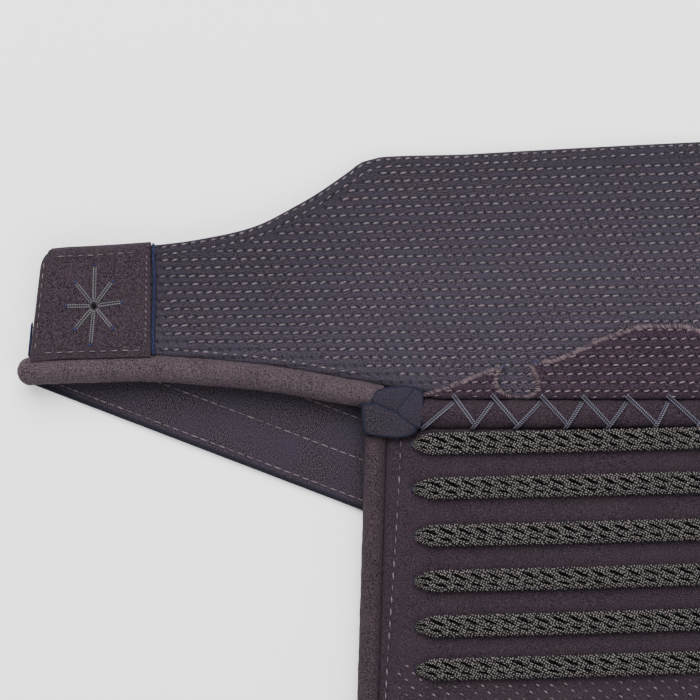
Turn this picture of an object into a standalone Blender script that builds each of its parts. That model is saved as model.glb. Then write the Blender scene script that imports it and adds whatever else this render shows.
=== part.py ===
"""Kendo waist protector, laid on its back with its face up.

A quilted cotton waist band narrows at both ends into ears. A leather roll edges each ear, and
a thicker laced roll joins the band to three large leather-faced flaps. Two small flaps hang
behind the gaps. A strap is sewn behind each ear, turned back under it and crosses the other
behind the flaps. Metres, +Z up, +X along the band, +Y from the flaps to the band's top edge.
"""

import math

import bmesh
import bpy

# Clearance between two pieces that touch on the real thing
GAP = 0.0003

# Large flaps, three side by side
FLAP_WIDTH = 0.165
FLAP_SPACING = 0.012
FLAP_DROP = 0.257
FLAP_THICK = 0.007
FLAP_ROLL = 0.0088
FLAP_CORNER = 0.014
OUTER_FLARE = 0.0076
INNER_FLARE = 0.002
SIDE_TILT = math.radians(1.6)

# Small flaps, behind the two gaps
SMALL_WIDTH = 0.149
SMALL_DROP = 0.238
SMALL_THICK = 0.006
SMALL_ROLL = 0.0075
SMALL_FLARE = 0.003
TONGUE_THICK = 0.0016
TONGUE_REACH = 0.014

# Braided cords sewn across each large flap
CORD_ROWS = 6
CORD_PITCH = 0.0180
CORD_FIRST = 0.0128
CORD_INSET = 0.0185
CORD_WIDE = 0.0088
CORD_HIGH = 0.0044
CORD_FAN = math.radians(0.6)

# Waist band
LACED_ROLL = 0.0124
EAR_ROLL = 0.0104
CORNER_RISE = 0.1017
MIDDLE_RISE = 0.113
EAR_RISE = 0.0662
EAR_REACH = 0.1344
BAND_THICK = 0.009
BAND_EDGE_THICK = 0.0055
EAR_THICK = 0.0065
TIP_REACH = 0.005

# Leather patch folded over each ear's top edge
PATCH_WIDE = 0.0487
PATCH_THICK = 0.0012
PATCH_BACK = 0.030
PATCH_ROUND = 0.0022

# Cloud-shaped leather on the lower middle of the band
CLOUD_HALF = 0.2365
CLOUD_RISE = 0.0352
CLOUD_THICK = 0.001
NOTCH_RADIUS = 0.0066
NOTCH_X = 0.1989
NOTCH_RISE = 0.0149

# Cloth binding round the corner where the rolls meet
BINDING_LONG = 0.025
BINDING_TALL = 0.020
BINDING_HIGH = 0.0145
BINDING_OVER = 0.0015
BINDING_ROUND = 0.003

# Straps
STRAP_WIDE = 0.053
STRAP_THICK = 0.0024
STRAP_SLOPE = math.radians(20.9)
STRAP_ROOT = 0.046
STRAP_RUN = 0.542
STRAP_FOLD_GAP = 0.0006
STRAP_LIFT_EASE = 0.030

# How the layers lie on each other
SAG_START = 0.140
COVER_EASE = 0.084

# Worked out from the sizes above
CORNER_X = 1.5 * FLAP_WIDTH + FLAP_SPACING
BINDING_INNER = CORNER_X + BINDING_OVER - BINDING_LONG
SEAM_Y = (FLAP_DROP - MIDDLE_RISE) / 2
SMALL_X = (FLAP_WIDTH + FLAP_SPACING) / 2
STRAP_STACK = 2 * STRAP_THICK + 2 * GAP
COVER_HIGH = SMALL_ROLL + GAP
EAR_BED = 2 * STRAP_THICK + STRAP_FOLD_GAP + GAP
SMALL_OUTER = SMALL_X + SMALL_WIDTH / 2 + SMALL_FLARE + GAP

# Outline of an ear: how far out from the flaps' outer corner, as a share of EAR_REACH; the
# top edge, as a share from EAR_RISE to CORNER_RISE; the roll's centre line, as a share of
# EAR_RISE above the seam
EAR_COLUMNS = ("out", "top", "roll")
EAR_TABLE = (
    (-0.220, 1.070, 0.000),
    (-0.120, 1.050, 0.055),
    (0.000, 1.000, 0.120),
    (0.060, 0.845, 0.140),
    (0.135, 0.648, 0.168),
    (0.194, 0.513, 0.190),
    (0.328, 0.254, 0.228),
    (0.492, 0.107, 0.258),
    (0.640, 0.034, 0.278),
    (0.800, -0.015, 0.272),
    (0.930, -0.037, 0.264),
    (1.000, -0.080, 0.258),
)

# Top edge of the cloud leather, from its outer end to the middle: x as a share of CLOUD_HALF
# and rise as a share from the band's lower edge to CLOUD_RISE
CLOUD_COLUMNS = ("x", "rise")
CLOUD_TABLE = (
    (1.000, 0.02),
    (0.903, 0.32),
    (0.863, 0.44),
    (0.808, 0.48),
    (0.737, 0.66),
    (0.666, 0.90),
    (0.595, 1.00),
    (0.533, 0.92),
    (0.470, 0.72),
    (0.410, 0.80),
    (0.330, 1.00),
    (0.260, 0.90),
    (0.200, 0.72),
    (0.140, 0.82),
    (0.070, 1.02),
    (0.000, 1.08),
)

# Outline of the corner binding, from its middle: outwards along the band as a share of
# BINDING_LONG, and up as a share of BINDING_TALL
BINDING_COLUMNS = ("out", "up")
BINDING_OUTLINE = (
    (0.50, 0.20),
    (0.33, 0.42),
    (-0.20, 0.40),
    (-0.50, 0.26),
    (-0.50, -0.22),
    (-0.40, -0.28),
    (-0.26, -0.42),
    (-0.10, -0.50),
    (0.12, -0.49),
    (0.47, -0.34),
)


def smooth(share):
    """Rises from 0 to 1 with level ends, and stays there outside them."""
    share = min(max(share, 0.0), 1.0)
    return share * share * (3 - 2 * share)


def read(table, columns, column, at):
    """A column of a table at a value of its first column, by a cubic through the rows."""
    rows = sorted(table)
    k = columns.index(column)
    at = min(max(at, rows[0][0]), rows[-1][0])
    i = max(j for j in range(len(rows) - 1) if rows[j][0] <= at)

    def slope(j):
        before, after = rows[max(j - 1, 0)], rows[min(j + 1, len(rows) - 1)]
        return (after[k] - before[k]) / (after[0] - before[0])

    span = rows[i + 1][0] - rows[i][0]
    t = (at - rows[i][0]) / span
    start, end = rows[i][k], rows[i + 1][k]
    return (
        start * (1 + 2 * t) * (1 - t) ** 2
        + end * t * t * (3 - 2 * t)
        + span * slope(i) * t * (1 - t) ** 2
        - span * slope(i + 1) * t * t * (1 - t)
    )


def ear_share(x):
    """How far out along the ear a place is, as a share of EAR_REACH."""
    return (abs(x) - CORNER_X) / EAR_REACH


def roll_rise(x):
    """Height above the seam of the centre line of the roll under the band."""
    return EAR_RISE * read(EAR_TABLE, EAR_COLUMNS, "roll", ear_share(x))


def roll_radius(x):
    """The laced roll is thicker than the ear's, and eases into it under the binding."""
    share = smooth((abs(x) - BINDING_INNER) / BINDING_LONG)
    return (LACED_ROLL + (EAR_ROLL - LACED_ROLL) * share) / 2


def band_low(x):
    """Lower edge of the band's quilting, above the seam."""
    return roll_rise(x) + roll_radius(x) + GAP


def band_top(x):
    """Top edge of the band, above the seam: a low arch, then the ear's hollow curve."""
    inward = 1 - min(abs(x) / CORNER_X, 1)
    arch = CORNER_RISE + (MIDDLE_RISE - CORNER_RISE) * (1 - (1 - inward) ** 1.5)
    if ear_share(x) < 0:
        return arch
    share = read(EAR_TABLE, EAR_COLUMNS, "top", ear_share(x))
    return EAR_RISE + (CORNER_RISE - EAR_RISE) * share


def small_lie(y):
    """Height of a small flap's underside: on the crossed straps, then down to the floor."""
    down = smooth((SEAM_Y - y - SAG_START) / (SMALL_DROP - SAG_START))
    return STRAP_STACK * (1 - down)


def large_lie(x, y):
    """Height of a large flap's underside: over the small flaps, then down beside them."""
    beside = smooth((abs(x) - SMALL_OUTER) / COVER_EASE)
    return small_lie(y) + COVER_HIGH * (1 - beside)


def seam_z(x):
    """Height of the centre of the rolls and of the band's lower edge."""
    ear = smooth((abs(x) - CORNER_X) / (EAR_REACH / 2))
    level = large_lie(x, SEAM_Y) + FLAP_ROLL / 2
    return level + (EAR_BED + EAR_ROLL / 2 - level) * ear


def ear_part(x):
    """0 along the middle of the band, 1 along the ear."""
    return smooth((abs(x) - CORNER_X + 0.1 * EAR_REACH) / (0.55 * EAR_REACH))


def ear_end(up):
    """How far out the ear ends: it leans in towards the top, where its corner is round."""
    lean = TIP_REACH * up + 0.6 * TIP_REACH * smooth((up - 0.75) / 0.25)
    return CORNER_X + EAR_REACH - lean


def band_thick(x, up):
    """Padding thickness: thinner in the ears and towards the top edge."""
    body = BAND_THICK + (EAR_THICK - BAND_THICK) * ear_part(x)
    edge = min(BAND_EDGE_THICK, body)
    return body + (edge - body) * smooth((up - 0.72) / 0.28)


def band_z(x, up):
    """Middle of the padding: from the seam it curls back until the top edge is down."""
    level = seam_z(x)
    down = BAND_EDGE_THICK / 2
    return level + (down - level) * (1 - ear_part(x)) * up * up


def flap_z(x, y):
    """Middle plane of a large flap."""
    return large_lie(x, y) + FLAP_ROLL / 2


def small_z(x, y):
    """Middle plane of a small flap."""
    return small_lie(y) + SMALL_ROLL / 2


def material(name, colour, roughness):
    """A plain material of that colour and roughness."""
    made = bpy.data.materials.new(name)
    made.use_nodes = True
    shader = made.node_tree.nodes["Principled BSDF"]
    shader.inputs["Base Color"].default_value = (*colour, 1)
    shader.inputs["Roughness"].default_value = roughness
    shader.inputs["Metallic"].default_value = 0
    return made


def clear_scene():
    for thing in list(bpy.data.objects):
        bpy.data.objects.remove(thing)


def put(name, data, finish, collection, smooth_shaded=True):
    """A named object of that mesh or curve, in a collection, with its finish."""
    thing = bpy.data.objects.new(name, data)
    collection.objects.link(thing)
    data.materials.append(finish)
    if smooth_shaded and isinstance(data, bpy.types.Mesh):
        data.shade_smooth()
    return thing


def sheet(name, columns, rows, place, finish, collection):
    """A grid whose corners run 0 to 1 each way, carried to place(across, up)."""
    shell = bmesh.new()
    bmesh.ops.create_grid(shell, x_segments=columns, y_segments=rows, size=0.5)
    weights = []
    for corner in shell.verts:
        x, y, z, weight = place(corner.co.x + 0.5, corner.co.y + 0.5)
        corner.co = (x, y, z)
        weights.append(weight)
    mesh = bpy.data.meshes.new(name)
    shell.to_mesh(mesh)
    shell.free()
    thing = put(name, mesh, finish, collection)
    group = thing.vertex_groups.new(name="padding")
    for index, weight in enumerate(weights):
        group.add([index], min(max(weight, 0.0), 1.0), "REPLACE")
    return thing


def pad(thing, thick, edge=0.0):
    """Gives a sheet its thickness, half to each side, thinned by its padding group."""
    wall = thing.modifiers.new("Padding", "SOLIDIFY")
    wall.thickness = thick
    wall.offset = 0
    wall.vertex_group = "padding"
    wall.thickness_vertex_group = 0
    if edge:
        rim = thing.modifiers.new("Rim", "BEVEL")
        rim.width = edge
        rim.segments = 1
        rim.limit_method = "ANGLE"
        rim.angle_limit = math.radians(50)


def rolled(name, points, radius, finish, collection, sides=2, section=None):
    """A filled roll along points, each (x, y, z, share of the radius)."""
    curve = bpy.data.curves.new(name, "CURVE")
    curve.dimensions = "3D"
    curve.twist_mode = "Z_UP"
    curve.use_fill_caps = True
    if section:
        curve.bevel_mode = "OBJECT"
        curve.bevel_object = section
    else:
        curve.bevel_depth = radius
        curve.bevel_resolution = sides
    spline = curve.splines.new("POLY")
    spline.points.add(len(points) - 1)
    for point, (x, y, z, share) in zip(spline.points, points):
        point.co = (x, y, z, 1)
        point.radius = share
    return put(name, curve, finish, collection)


def spread(count):
    """count + 1 shares, from 0 to 1."""
    return [i / count for i in range(count + 1)]


def waist_band(finish, collection):
    """The quilted band, with columns closest together in the ears."""
    inner_x = CORNER_X - 0.22 * EAR_REACH
    middle, ear = 14, 13
    inner_share = middle / (middle + 2 * ear)

    def place(across, up):
        side = 2 * across - 1
        if abs(side) <= inner_share:
            x = inner_x * side / inner_share
        else:
            out = (abs(side) - inner_share) / (1 - inner_share)
            end = CORNER_X + EAR_REACH
            end += (ear_end(up) - end) * out * out
            x = math.copysign(inner_x + (end - inner_x) * out, side)
        low, top = band_low(x), band_top(x)
        y = SEAM_Y + low + (top - low) * up
        return x, y, band_z(x, up), band_thick(x, up) / BAND_THICK

    band = sheet("waist_band", middle + 2 * ear, 7, place, finish, collection)
    pad(band, BAND_THICK, edge=0.002)


def laced_roll(finish, collection):
    half = BINDING_INNER - 4 * GAP
    points = []
    for share in spread(20):
        x = half * (2 * share - 1)
        points.append((x, SEAM_Y, seam_z(x), 1))
    rolled("laced_roll", points, LACED_ROLL / 2, finish, collection, sides=3)


def ear_roll(side, finish, collection):
    """The leather roll under one ear, with a blunt round tip."""
    tip = CORNER_X + EAR_REACH + TIP_REACH
    start = CORNER_X + BINDING_OVER + GAP
    tip_shares = {0.965: 0.85, 1.0: 0.45}
    points = []
    for share in [*spread(12)[:-1], 0.965, 1.0]:
        x = start + (tip - start) * share
        y = SEAM_Y + roll_rise(x)
        points.append((side * x, y, seam_z(x), tip_shares.get(share, 1)))
    name = "ear_roll_left" if side < 0 else "ear_roll_right"
    rolled(name, points, EAR_ROLL / 2, finish, collection)


def large_flap_edges(index):
    """Top corners and flare of a large flap: left x, right x, left flare, right flare."""
    centre = index * (FLAP_WIDTH + FLAP_SPACING)
    left, right = centre - FLAP_WIDTH / 2, centre + FLAP_WIDTH / 2
    flare_left = {-1: OUTER_FLARE, 0: INNER_FLARE, 1: -INNER_FLARE}[index]
    flare_right = {-1: -INNER_FLARE, 0: INNER_FLARE, 1: OUTER_FLARE}[index]
    return left, right, flare_left, flare_right


def flap_bottom(index, x):
    """The side flaps' lower edges drop a little towards the outside."""
    outward = abs(x) - (CORNER_X - FLAP_WIDTH)
    return SEAM_Y - FLAP_DROP + (FLAP_WIDTH - outward) * math.tan(SIDE_TILT) * abs(index)


def flap_outline(edges, bottom, tops, radius, steps):
    """Centre line of a flap's edge roll: down the left side, along the bottom and up."""
    left, right, flare_left, flare_right = edges
    corner = FLAP_CORNER
    top = max(tops)
    drop = top - bottom(left)

    def side_x(edge, flare, inward, y):
        return edge + flare * (top - y) / drop + inward

    points = []
    low_left = bottom(left) + radius
    for share in spread(steps):
        y = tops[0] + (low_left + corner - tops[0]) * share
        points.append((side_x(left, -flare_left, radius, y), y))
    first = points[-1]
    for step in (1, 2, 3):
        turn = math.pi / 2 * step / 4
        points.append(
            (first[0] + corner * (1 - math.cos(turn)), first[1] - corner * math.sin(turn))
        )
    low_right = bottom(right) + radius
    start_x = first[0] + corner
    end_x = side_x(right, flare_right, -radius, low_right + corner) - corner
    for share in spread(steps // 2):
        x = start_x + (end_x - start_x) * share
        points.append((x, bottom(x) + radius))
    last = (end_x + corner, low_right + corner)
    for step in (3, 2, 1):
        turn = math.pi / 2 * step / 4
        points.append(
            (last[0] - corner * (1 - math.cos(turn)), last[1] - corner * math.sin(turn))
        )
    for share in spread(steps):
        y = last[1] + (tops[1] - last[1]) * share
        points.append((side_x(right, flare_right, -radius, y), y))
    return points


def panel_top(x):
    """Top edge of a large flap: against the laced roll, and below the corner binding."""
    beside = min(max((abs(x) - BINDING_INNER + 0.002) / (BINDING_LONG / 2), 0), 1)
    clear = (BINDING_TALL - LACED_ROLL) / 2 + 2 * GAP
    return SEAM_Y - LACED_ROLL / 2 - GAP - clear * beside


def flap_panel(name, edges, bottom, finish, collection):
    """The padded panel that fills the roll's outline, with its lower corners drawn in."""
    left, right, flare_left, flare_right = edges
    inset = FLAP_ROLL + GAP
    full = SEAM_Y - LACED_ROLL / 2 - GAP
    drop = full - bottom(left)
    corner_cut = 0.30 * FLAP_CORNER

    def place(column, up):
        across = 0.5 - 0.5 * math.cos(math.pi * column)
        flat_x = left + inset + (right - left - 2 * inset) * across
        low, top = bottom(flat_x) + inset, panel_top(flat_x)
        y = low + (top - low) * up
        down = (full - y) / drop
        x_left = left - flare_left * down + inset
        x_right = right + flare_right * down - inset
        near_side = smooth((abs(2 * across - 1) - 0.8) / 0.2)
        near_low = smooth((0.08 - up) / 0.08)
        y += corner_cut * near_side * near_low
        x = x_left + (x_right - x_left) * across
        x += corner_cut * near_low * near_side * (1 if across < 0.5 else -1)
        return x, y, flap_z(x, y), 1

    pad(sheet(name, 8, 9, place, finish, collection), FLAP_THICK)


def large_flap(index, name, leather, collection):
    """A large flap and its edge roll, which ends under the laced roll or the binding."""
    edges = large_flap_edges(index)

    def bottom(x):
        return flap_bottom(index, x)

    flap_panel(name, edges, bottom, leather, collection)
    under_roll = SEAM_Y - LACED_ROLL / 2 - GAP
    under_binding = SEAM_Y - BINDING_TALL / 2 - GAP
    tops = {
        -1: (under_binding, under_roll),
        0: (under_roll, under_roll),
        1: (under_roll, under_binding),
    }[index]
    radius = FLAP_ROLL / 2
    outline = flap_outline(edges, bottom, tops, radius, 7)
    points = [(x, y, flap_z(x, y), 1) for x, y in outline]
    rolled(f"{name}_edge_roll", points, radius, leather, collection)


def small_flap(side, name, leather, collection):
    """A small flap: a tongue of thin cloth at its top is sewn behind the band."""
    centre = side * SMALL_X
    left, right = centre - SMALL_WIDTH / 2, centre + SMALL_WIDTH / 2
    top = SEAM_Y - LACED_ROLL / 2 - 0.0015
    radius = SMALL_ROLL / 2
    inset = SMALL_ROLL + GAP
    low = SEAM_Y - SMALL_DROP
    tongue_rows = 4
    rows = 11

    def bottom(x):
        return low

    def tongue_z(x, y):
        """Under the laced roll, then up against the band's back."""
        under_roll = seam_z(x) - LACED_ROLL / 2 - GAP - TONGUE_THICK / 2
        under_band = seam_z(x) - BAND_THICK / 2 - GAP - TONGUE_THICK / 2
        rise = smooth((y - SEAM_Y) / (LACED_ROLL / 4) - 1)
        return under_roll + (under_band - under_roll) * rise

    def place(across, up):
        panel_share = 1 - tongue_rows / rows
        if up <= panel_share:
            share = up / panel_share
            y = low + inset + (top - low - inset) * share
            thick = SMALL_THICK
        else:
            share = (up - panel_share) / (1 - panel_share)
            y = top + (SEAM_Y + TONGUE_REACH - top) * share
            thick = TONGUE_THICK
        down = (top - y) / (top - low)
        half = SMALL_WIDTH / 2 - inset + SMALL_FLARE * max(down, 0)
        near_side = smooth((abs(2 * across - 1) - 0.8) / 0.2)
        near_low = smooth((0.08 - up) / 0.08)
        y += 0.3 * FLAP_CORNER * near_side * near_low
        half -= 0.3 * FLAP_CORNER * near_side * near_low
        x = centre + half * (2 * across - 1)
        z = small_z(x, y) if up <= panel_share else tongue_z(x, y)
        return x, y, z, thick / SMALL_THICK

    pad(sheet(name, 6, rows, place, leather, collection), SMALL_THICK)
    edges = (left, right, SMALL_FLARE, SMALL_FLARE)
    outline = flap_outline(edges, bottom, (top, top), radius, 6)
    points = [(x, y, small_z(x, y), 1) for x, y in outline]
    rolled(f"{name}_edge_roll", points, radius, leather, collection)


def cord_section(cutters):
    """Flat oval section of the braided cords, as a guide for their curves."""
    curve = bpy.data.curves.new("cord_section", "CURVE")
    curve.dimensions = "2D"
    spline = curve.splines.new("POLY")
    sides = 8
    spline.points.add(sides - 1)
    spline.use_cyclic_u = True
    for k, point in enumerate(spline.points):
        turn = -2 * math.pi * k / sides
        point.co = (CORD_WIDE / 2 * math.cos(turn), CORD_HIGH / 2 * math.sin(turn), 0, 1)
    guide = bpy.data.objects.new("cord_section", curve)
    guide.hide_render = True
    guide.display_type = "WIRE"
    cutters.objects.link(guide)
    return guide


def flap_cords(index, name, section, finish, collection):
    """Six flat cords across a flap, fanning a little on the side flaps, with tapered ends."""
    left, right, _, _ = large_flap_edges(index)
    start, end = left + CORD_INSET, right - CORD_INSET
    stations = (0, 0.07, 0.18, 0.34, 0.50, 0.66, 0.82, 0.93, 1)
    shares = {0: 0.35, 0.07: 0.8, 0.93: 0.8, 1: 0.35}
    for row in range(CORD_ROWS):
        tilt = SIDE_TILT + CORD_FAN * (row / (CORD_ROWS - 1) - 0.5)
        outer = CORD_FIRST + CORD_PITCH * row
        if not index:
            outer -= (end - start) / 2 * math.tan(tilt)
        points = []
        for share in stations:
            x = start + (end - start) * share
            inward = {-1: share, 0: 0, 1: 1 - share}[index] * (end - start)
            y = SEAM_Y - outer + inward * math.tan(tilt)
            z = flap_z(x, y) + FLAP_THICK / 2 + CORD_HIGH / 2 + GAP
            points.append((x, y, z, shares.get(share, 1)))
        cord_name = f"{name}_cord_{row + 1}"
        rolled(cord_name, points, 0, finish, collection, section=section)


def ear_patch(side, leather, collection):
    """Leather sewn on the ear's face, folded over its top edge and down its back."""
    inner = CORNER_X + EAR_REACH - PATCH_WIDE
    half = EAR_THICK / 2
    outside = PATCH_ROUND + GAP + PATCH_THICK / 2
    level = half - PATCH_ROUND
    bend = math.pi / 2 * outside

    def wrap(run, front):
        """Up the front, over the ear's edge by two round corners, and down the back."""
        run -= front - PATCH_ROUND
        if run <= 0:
            return run - PATCH_ROUND, level + outside
        if run <= bend:
            angle = run / outside
            return outside * math.sin(angle) - PATCH_ROUND, level + outside * math.cos(angle)
        run -= bend
        if run <= 2 * level:
            return outside - PATCH_ROUND, level - run
        run -= 2 * level
        if run <= bend:
            angle = run / outside
            return outside * math.cos(angle) - PATCH_ROUND, -level - outside * math.sin(angle)
        return bend - run - PATCH_ROUND, -level - outside

    def place(across, up):
        share = across if side > 0 else 1 - across
        flat_x = inner + (ear_end(1) - inner) * share
        low, top = SEAM_Y + band_low(flat_x) + 2 * GAP, SEAM_Y + band_top(flat_x)
        front = top - low
        steps = (0, 0.35, 0.7, 1)
        stations = [(front - PATCH_ROUND) * step for step in steps]
        stations += [stations[-1] + bend * step for step in (0.33, 0.67, 1)]
        stations += [stations[-1] + 2 * level + bend * step for step in (0, 0.33, 0.67, 1)]
        stations += [stations[-1] + PATCH_BACK * step for step in (0.5, 1)]
        run = stations[round(up * (len(stations) - 1))]
        beyond, z = wrap(run, front)
        x = inner + (ear_end(min(max(1 + beyond / front, 0), 1)) - GAP - inner) * share
        return side * x, top + beyond, seam_z(x) + z, 1

    name = "ear_patch_left" if side < 0 else "ear_patch_right"
    pad(sheet(name, 4, 12, place, leather, collection), PATCH_THICK)


def cloud_rise(x):
    """Top edge of the cloud leather, above the seam."""
    share = read(CLOUD_TABLE, CLOUD_COLUMNS, "rise", abs(x) / CLOUD_HALF)
    low = band_low(x) + 2 * GAP
    return low + (CLOUD_RISE - low) * share


def cloud_leather(leather, collection, cutters):
    """Thin leather over the middle of the band, with a round notch near each end."""

    def place(across, up):
        x = CLOUD_HALF * (2 * across - 1)
        low = band_low(x) + 2 * GAP
        rise = low + (cloud_rise(x) - low) * up
        share = (rise - band_low(x)) / (band_top(x) - band_low(x))
        z = band_z(x, share) + band_thick(x, share) / 2 + CLOUD_THICK / 2 + 2 * GAP
        return x, SEAM_Y + rise, z, 1

    cloud = sheet("cloud_leather", 48, 2, place, leather, collection)
    pad(cloud, CLOUD_THICK)
    for side in (-1, 1):
        bulb = bmesh.new()
        bmesh.ops.create_cone(
            bulb,
            cap_ends=True,
            segments=12,
            radius1=NOTCH_RADIUS,
            radius2=NOTCH_RADIUS,
            depth=BINDING_HIGH,
        )
        mesh = bpy.data.meshes.new("cloud_notch")
        bulb.to_mesh(mesh)
        bulb.free()
        place_x = side * NOTCH_X
        cutter = bpy.data.objects.new("cloud_notch", mesh)
        cutter.location = (place_x, SEAM_Y + NOTCH_RISE, seam_z(place_x))
        cutter.location.z += BAND_THICK / 2
        cutter.hide_render = True
        cutter.display_type = "WIRE"
        cutters.objects.link(cutter)
        cut = cloud.modifiers.new("Notch", "BOOLEAN")
        cut.operation = "DIFFERENCE"
        cut.object = cutter


def corner_binding(side, cloth, collection):
    """Cloth wound round the corner where the laced, ear and flap rolls meet."""
    name = "corner_binding_left" if side < 0 else "corner_binding_right"
    curve = bpy.data.curves.new(name, "CURVE")
    curve.dimensions = "2D"
    curve.fill_mode = "BOTH"
    curve.extrude = BINDING_HIGH / 2 - BINDING_ROUND
    curve.bevel_depth = BINDING_ROUND
    curve.bevel_resolution = 1
    curve.offset = -BINDING_ROUND
    spline = curve.splines.new("POLY")
    spline.points.add(len(BINDING_OUTLINE) - 1)
    spline.use_cyclic_u = True
    for point, row in zip(spline.points, BINDING_OUTLINE):
        share = dict(zip(BINDING_COLUMNS, row))
        point.co = (side * share["out"] * BINDING_LONG, share["up"] * BINDING_TALL, 0, 1)
    binding = put(name, curve, cloth, collection)
    x = BINDING_INNER + BINDING_LONG / 2
    binding.location = (side * x, SEAM_Y, seam_z(x))


def strap(side, cloth, collection):
    """The strap: its root lies under the ear, it turns over a fold and runs back inward.

    The fold line leans by half the strap's slope, so that the run leaves at that slope. Flat,
    a point has a distance past the fold line and one down along it. The distance past it goes
    round a half circle and then back under the root.
    """
    lean = STRAP_SLOPE / 2
    radius = (STRAP_THICK + STRAP_FOLD_GAP) / 2
    turn = math.pi * radius
    sine, cosine = math.sin(lean), math.cos(lean)
    top_x = CORNER_X + EAR_REACH - STRAP_WIDE * math.tan(lean)
    top_y = SEAM_Y + EAR_RISE - GAP
    root = [-STRAP_ROOT, -STRAP_ROOT / 2]
    bend = [turn * share for share in spread(5)]
    run = [turn + STRAP_RUN * share for share in spread(25)][1:]
    stations = [*root, *bend, *run]
    middle_x = top_x + STRAP_WIDE / 2 * math.tan(lean)
    crossing_y = top_y - STRAP_WIDE / 2 - middle_x * math.tan(STRAP_SLOPE)

    def lifted(x, y):
        """The right strap passes over the left one, whose middle line falls to the right."""
        if side < 0:
            return 0
        off = (y - crossing_y) * math.cos(STRAP_SLOPE) + x * math.sin(STRAP_SLOPE)
        clear = STRAP_WIDE / 2 + STRAP_LIFT_EASE / 2
        share = 1 - smooth((abs(off) - clear) / STRAP_LIFT_EASE)
        return (STRAP_THICK + GAP) * share

    def place(across, up):
        along = stations[round(across * (len(stations) - 1))]
        down = STRAP_WIDE * up
        away = abs(along - turn / 2) - turn / 2
        slanted = 1 - smooth(away / STRAP_ROOT)
        flat = along / cosine + down * math.tan(lean) * slanted
        past = flat * cosine - down * sine
        line = flat * sine + down * cosine
        if past <= 0:
            out, z = past, 2 * radius
        elif past < turn:
            angle = past / radius
            out, z = radius * math.sin(angle), radius * (1 + math.cos(angle))
        else:
            out, z = turn - past, 0
        x = top_x + out * cosine + line * sine
        y = top_y + out * sine - line * cosine
        return side * x, y, z + STRAP_THICK / 2 + lifted(side * x, y), 1

    name = "strap_left" if side < 0 else "strap_right"
    pad(sheet(name, len(stations) - 1, 2, place, cloth, collection), STRAP_THICK)


def build():
    clear_scene()
    parts = bpy.data.collections.new("kendo_waist_protector")
    cutters = bpy.data.collections.new("guides_and_cutters")
    bpy.context.scene.collection.children.link(parts)
    bpy.context.scene.collection.children.link(cutters)

    quilted = material("quilted_cotton", (0.072, 0.061, 0.076), 0.9)
    leather = material("smoked_leather", (0.045, 0.032, 0.043), 0.75)
    cord = material("braided_cord", (0.065, 0.060, 0.058), 0.65)
    strap_cloth = material("strap_cotton", (0.058, 0.047, 0.061), 0.9)
    binding_cloth = material("binding_cotton", (0.048, 0.041, 0.058), 0.85)

    waist_band(quilted, parts)
    laced_roll(leather, parts)
    cloud_leather(leather, parts, cutters)
    section = cord_section(cutters)
    for index, name in ((-1, "flap_left"), (0, "flap_middle"), (1, "flap_right")):
        large_flap(index, name, leather, parts)
        flap_cords(index, name, section, cord, parts)
    for side, name in ((-1, "small_flap_left"), (1, "small_flap_right")):
        small_flap(side, name, leather, parts)
        ear_roll(side, leather, parts)
        ear_patch(side, leather, parts)
        corner_binding(side, binding_cloth, parts)
        strap(side, strap_cloth, parts)


build()
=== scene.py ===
"""Kendo waist protector, laid on its back, as quilted cotton, smoked leather and cord.

Lengths in this script are millimetres, and piece() turns them into metres.
"""

import math

import bpy
import numpy as np
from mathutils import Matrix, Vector


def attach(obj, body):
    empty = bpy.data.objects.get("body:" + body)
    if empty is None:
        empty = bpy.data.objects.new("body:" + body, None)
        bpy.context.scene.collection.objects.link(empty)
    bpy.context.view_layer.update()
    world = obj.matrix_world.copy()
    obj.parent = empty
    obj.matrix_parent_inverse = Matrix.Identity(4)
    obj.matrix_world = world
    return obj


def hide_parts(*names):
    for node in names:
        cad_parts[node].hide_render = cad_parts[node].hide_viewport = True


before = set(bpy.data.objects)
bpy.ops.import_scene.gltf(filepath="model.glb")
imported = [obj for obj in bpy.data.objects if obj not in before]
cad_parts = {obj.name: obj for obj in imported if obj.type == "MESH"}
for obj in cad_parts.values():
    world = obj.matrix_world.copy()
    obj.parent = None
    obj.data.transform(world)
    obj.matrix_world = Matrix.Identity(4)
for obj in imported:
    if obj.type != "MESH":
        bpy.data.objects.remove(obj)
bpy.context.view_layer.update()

# Waist straps
# Each is a flat tube of dark cotton twill, pressed and run through with four rows of thread.
# Its root is sewn behind the ear; it turns back over a slanted fold and runs under the flaps.

FLAP_WIDTH, FLAP_SPACING, FLAP_DROP, MIDDLE_RISE = 165.0, 12.0, 257.0, 113.0
CORNER_X = 1.5 * FLAP_WIDTH + FLAP_SPACING
SEAM_Y = (FLAP_DROP - MIDDLE_RISE) / 2
GAP = 0.3
EAR_REACH, EAR_RISE = 134.4, 66.2
STRAP_WIDE, STRAP_THICK, STRAP_ROOT, STRAP_RUN = 53.0, 2.4, 46.0, 542.0
STRAP_SLOPE = math.radians(20.9)
STRAP_FOLD_GAP, STRAP_LIFT_EASE = 0.6, 30.0
STRAP_TURN = math.pi * (STRAP_THICK + STRAP_FOLD_GAP) / 2
STRAP_FAR = STRAP_TURN + STRAP_RUN
STRAP_ROWS, STRAP_HEM, HEM_EASE = (3.8, 18.9, 34.0, 49.2), 2.5, 0.5
PULL_WIDE, PULL_DEEP = 1.1, 0.22
RIPPLE_HIGH, RIPPLE_ALONG, RIPPLE_ACROSS = 0.06, 23, 9
THREAD_PITCH, THREAD_SEEN, THREAD_RADIUS, THREAD_SUNK = 3.92, 3.3, 0.34, 0.16
THREAD_FIRST, THREAD_LAST, THREAD_STRAY = 3, 6, 1.7
FINE_RELIEF, QUILT_RELIEF = 0.3, 1.1
UP = np.array([0.0, 0.0, 1.0])


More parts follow.
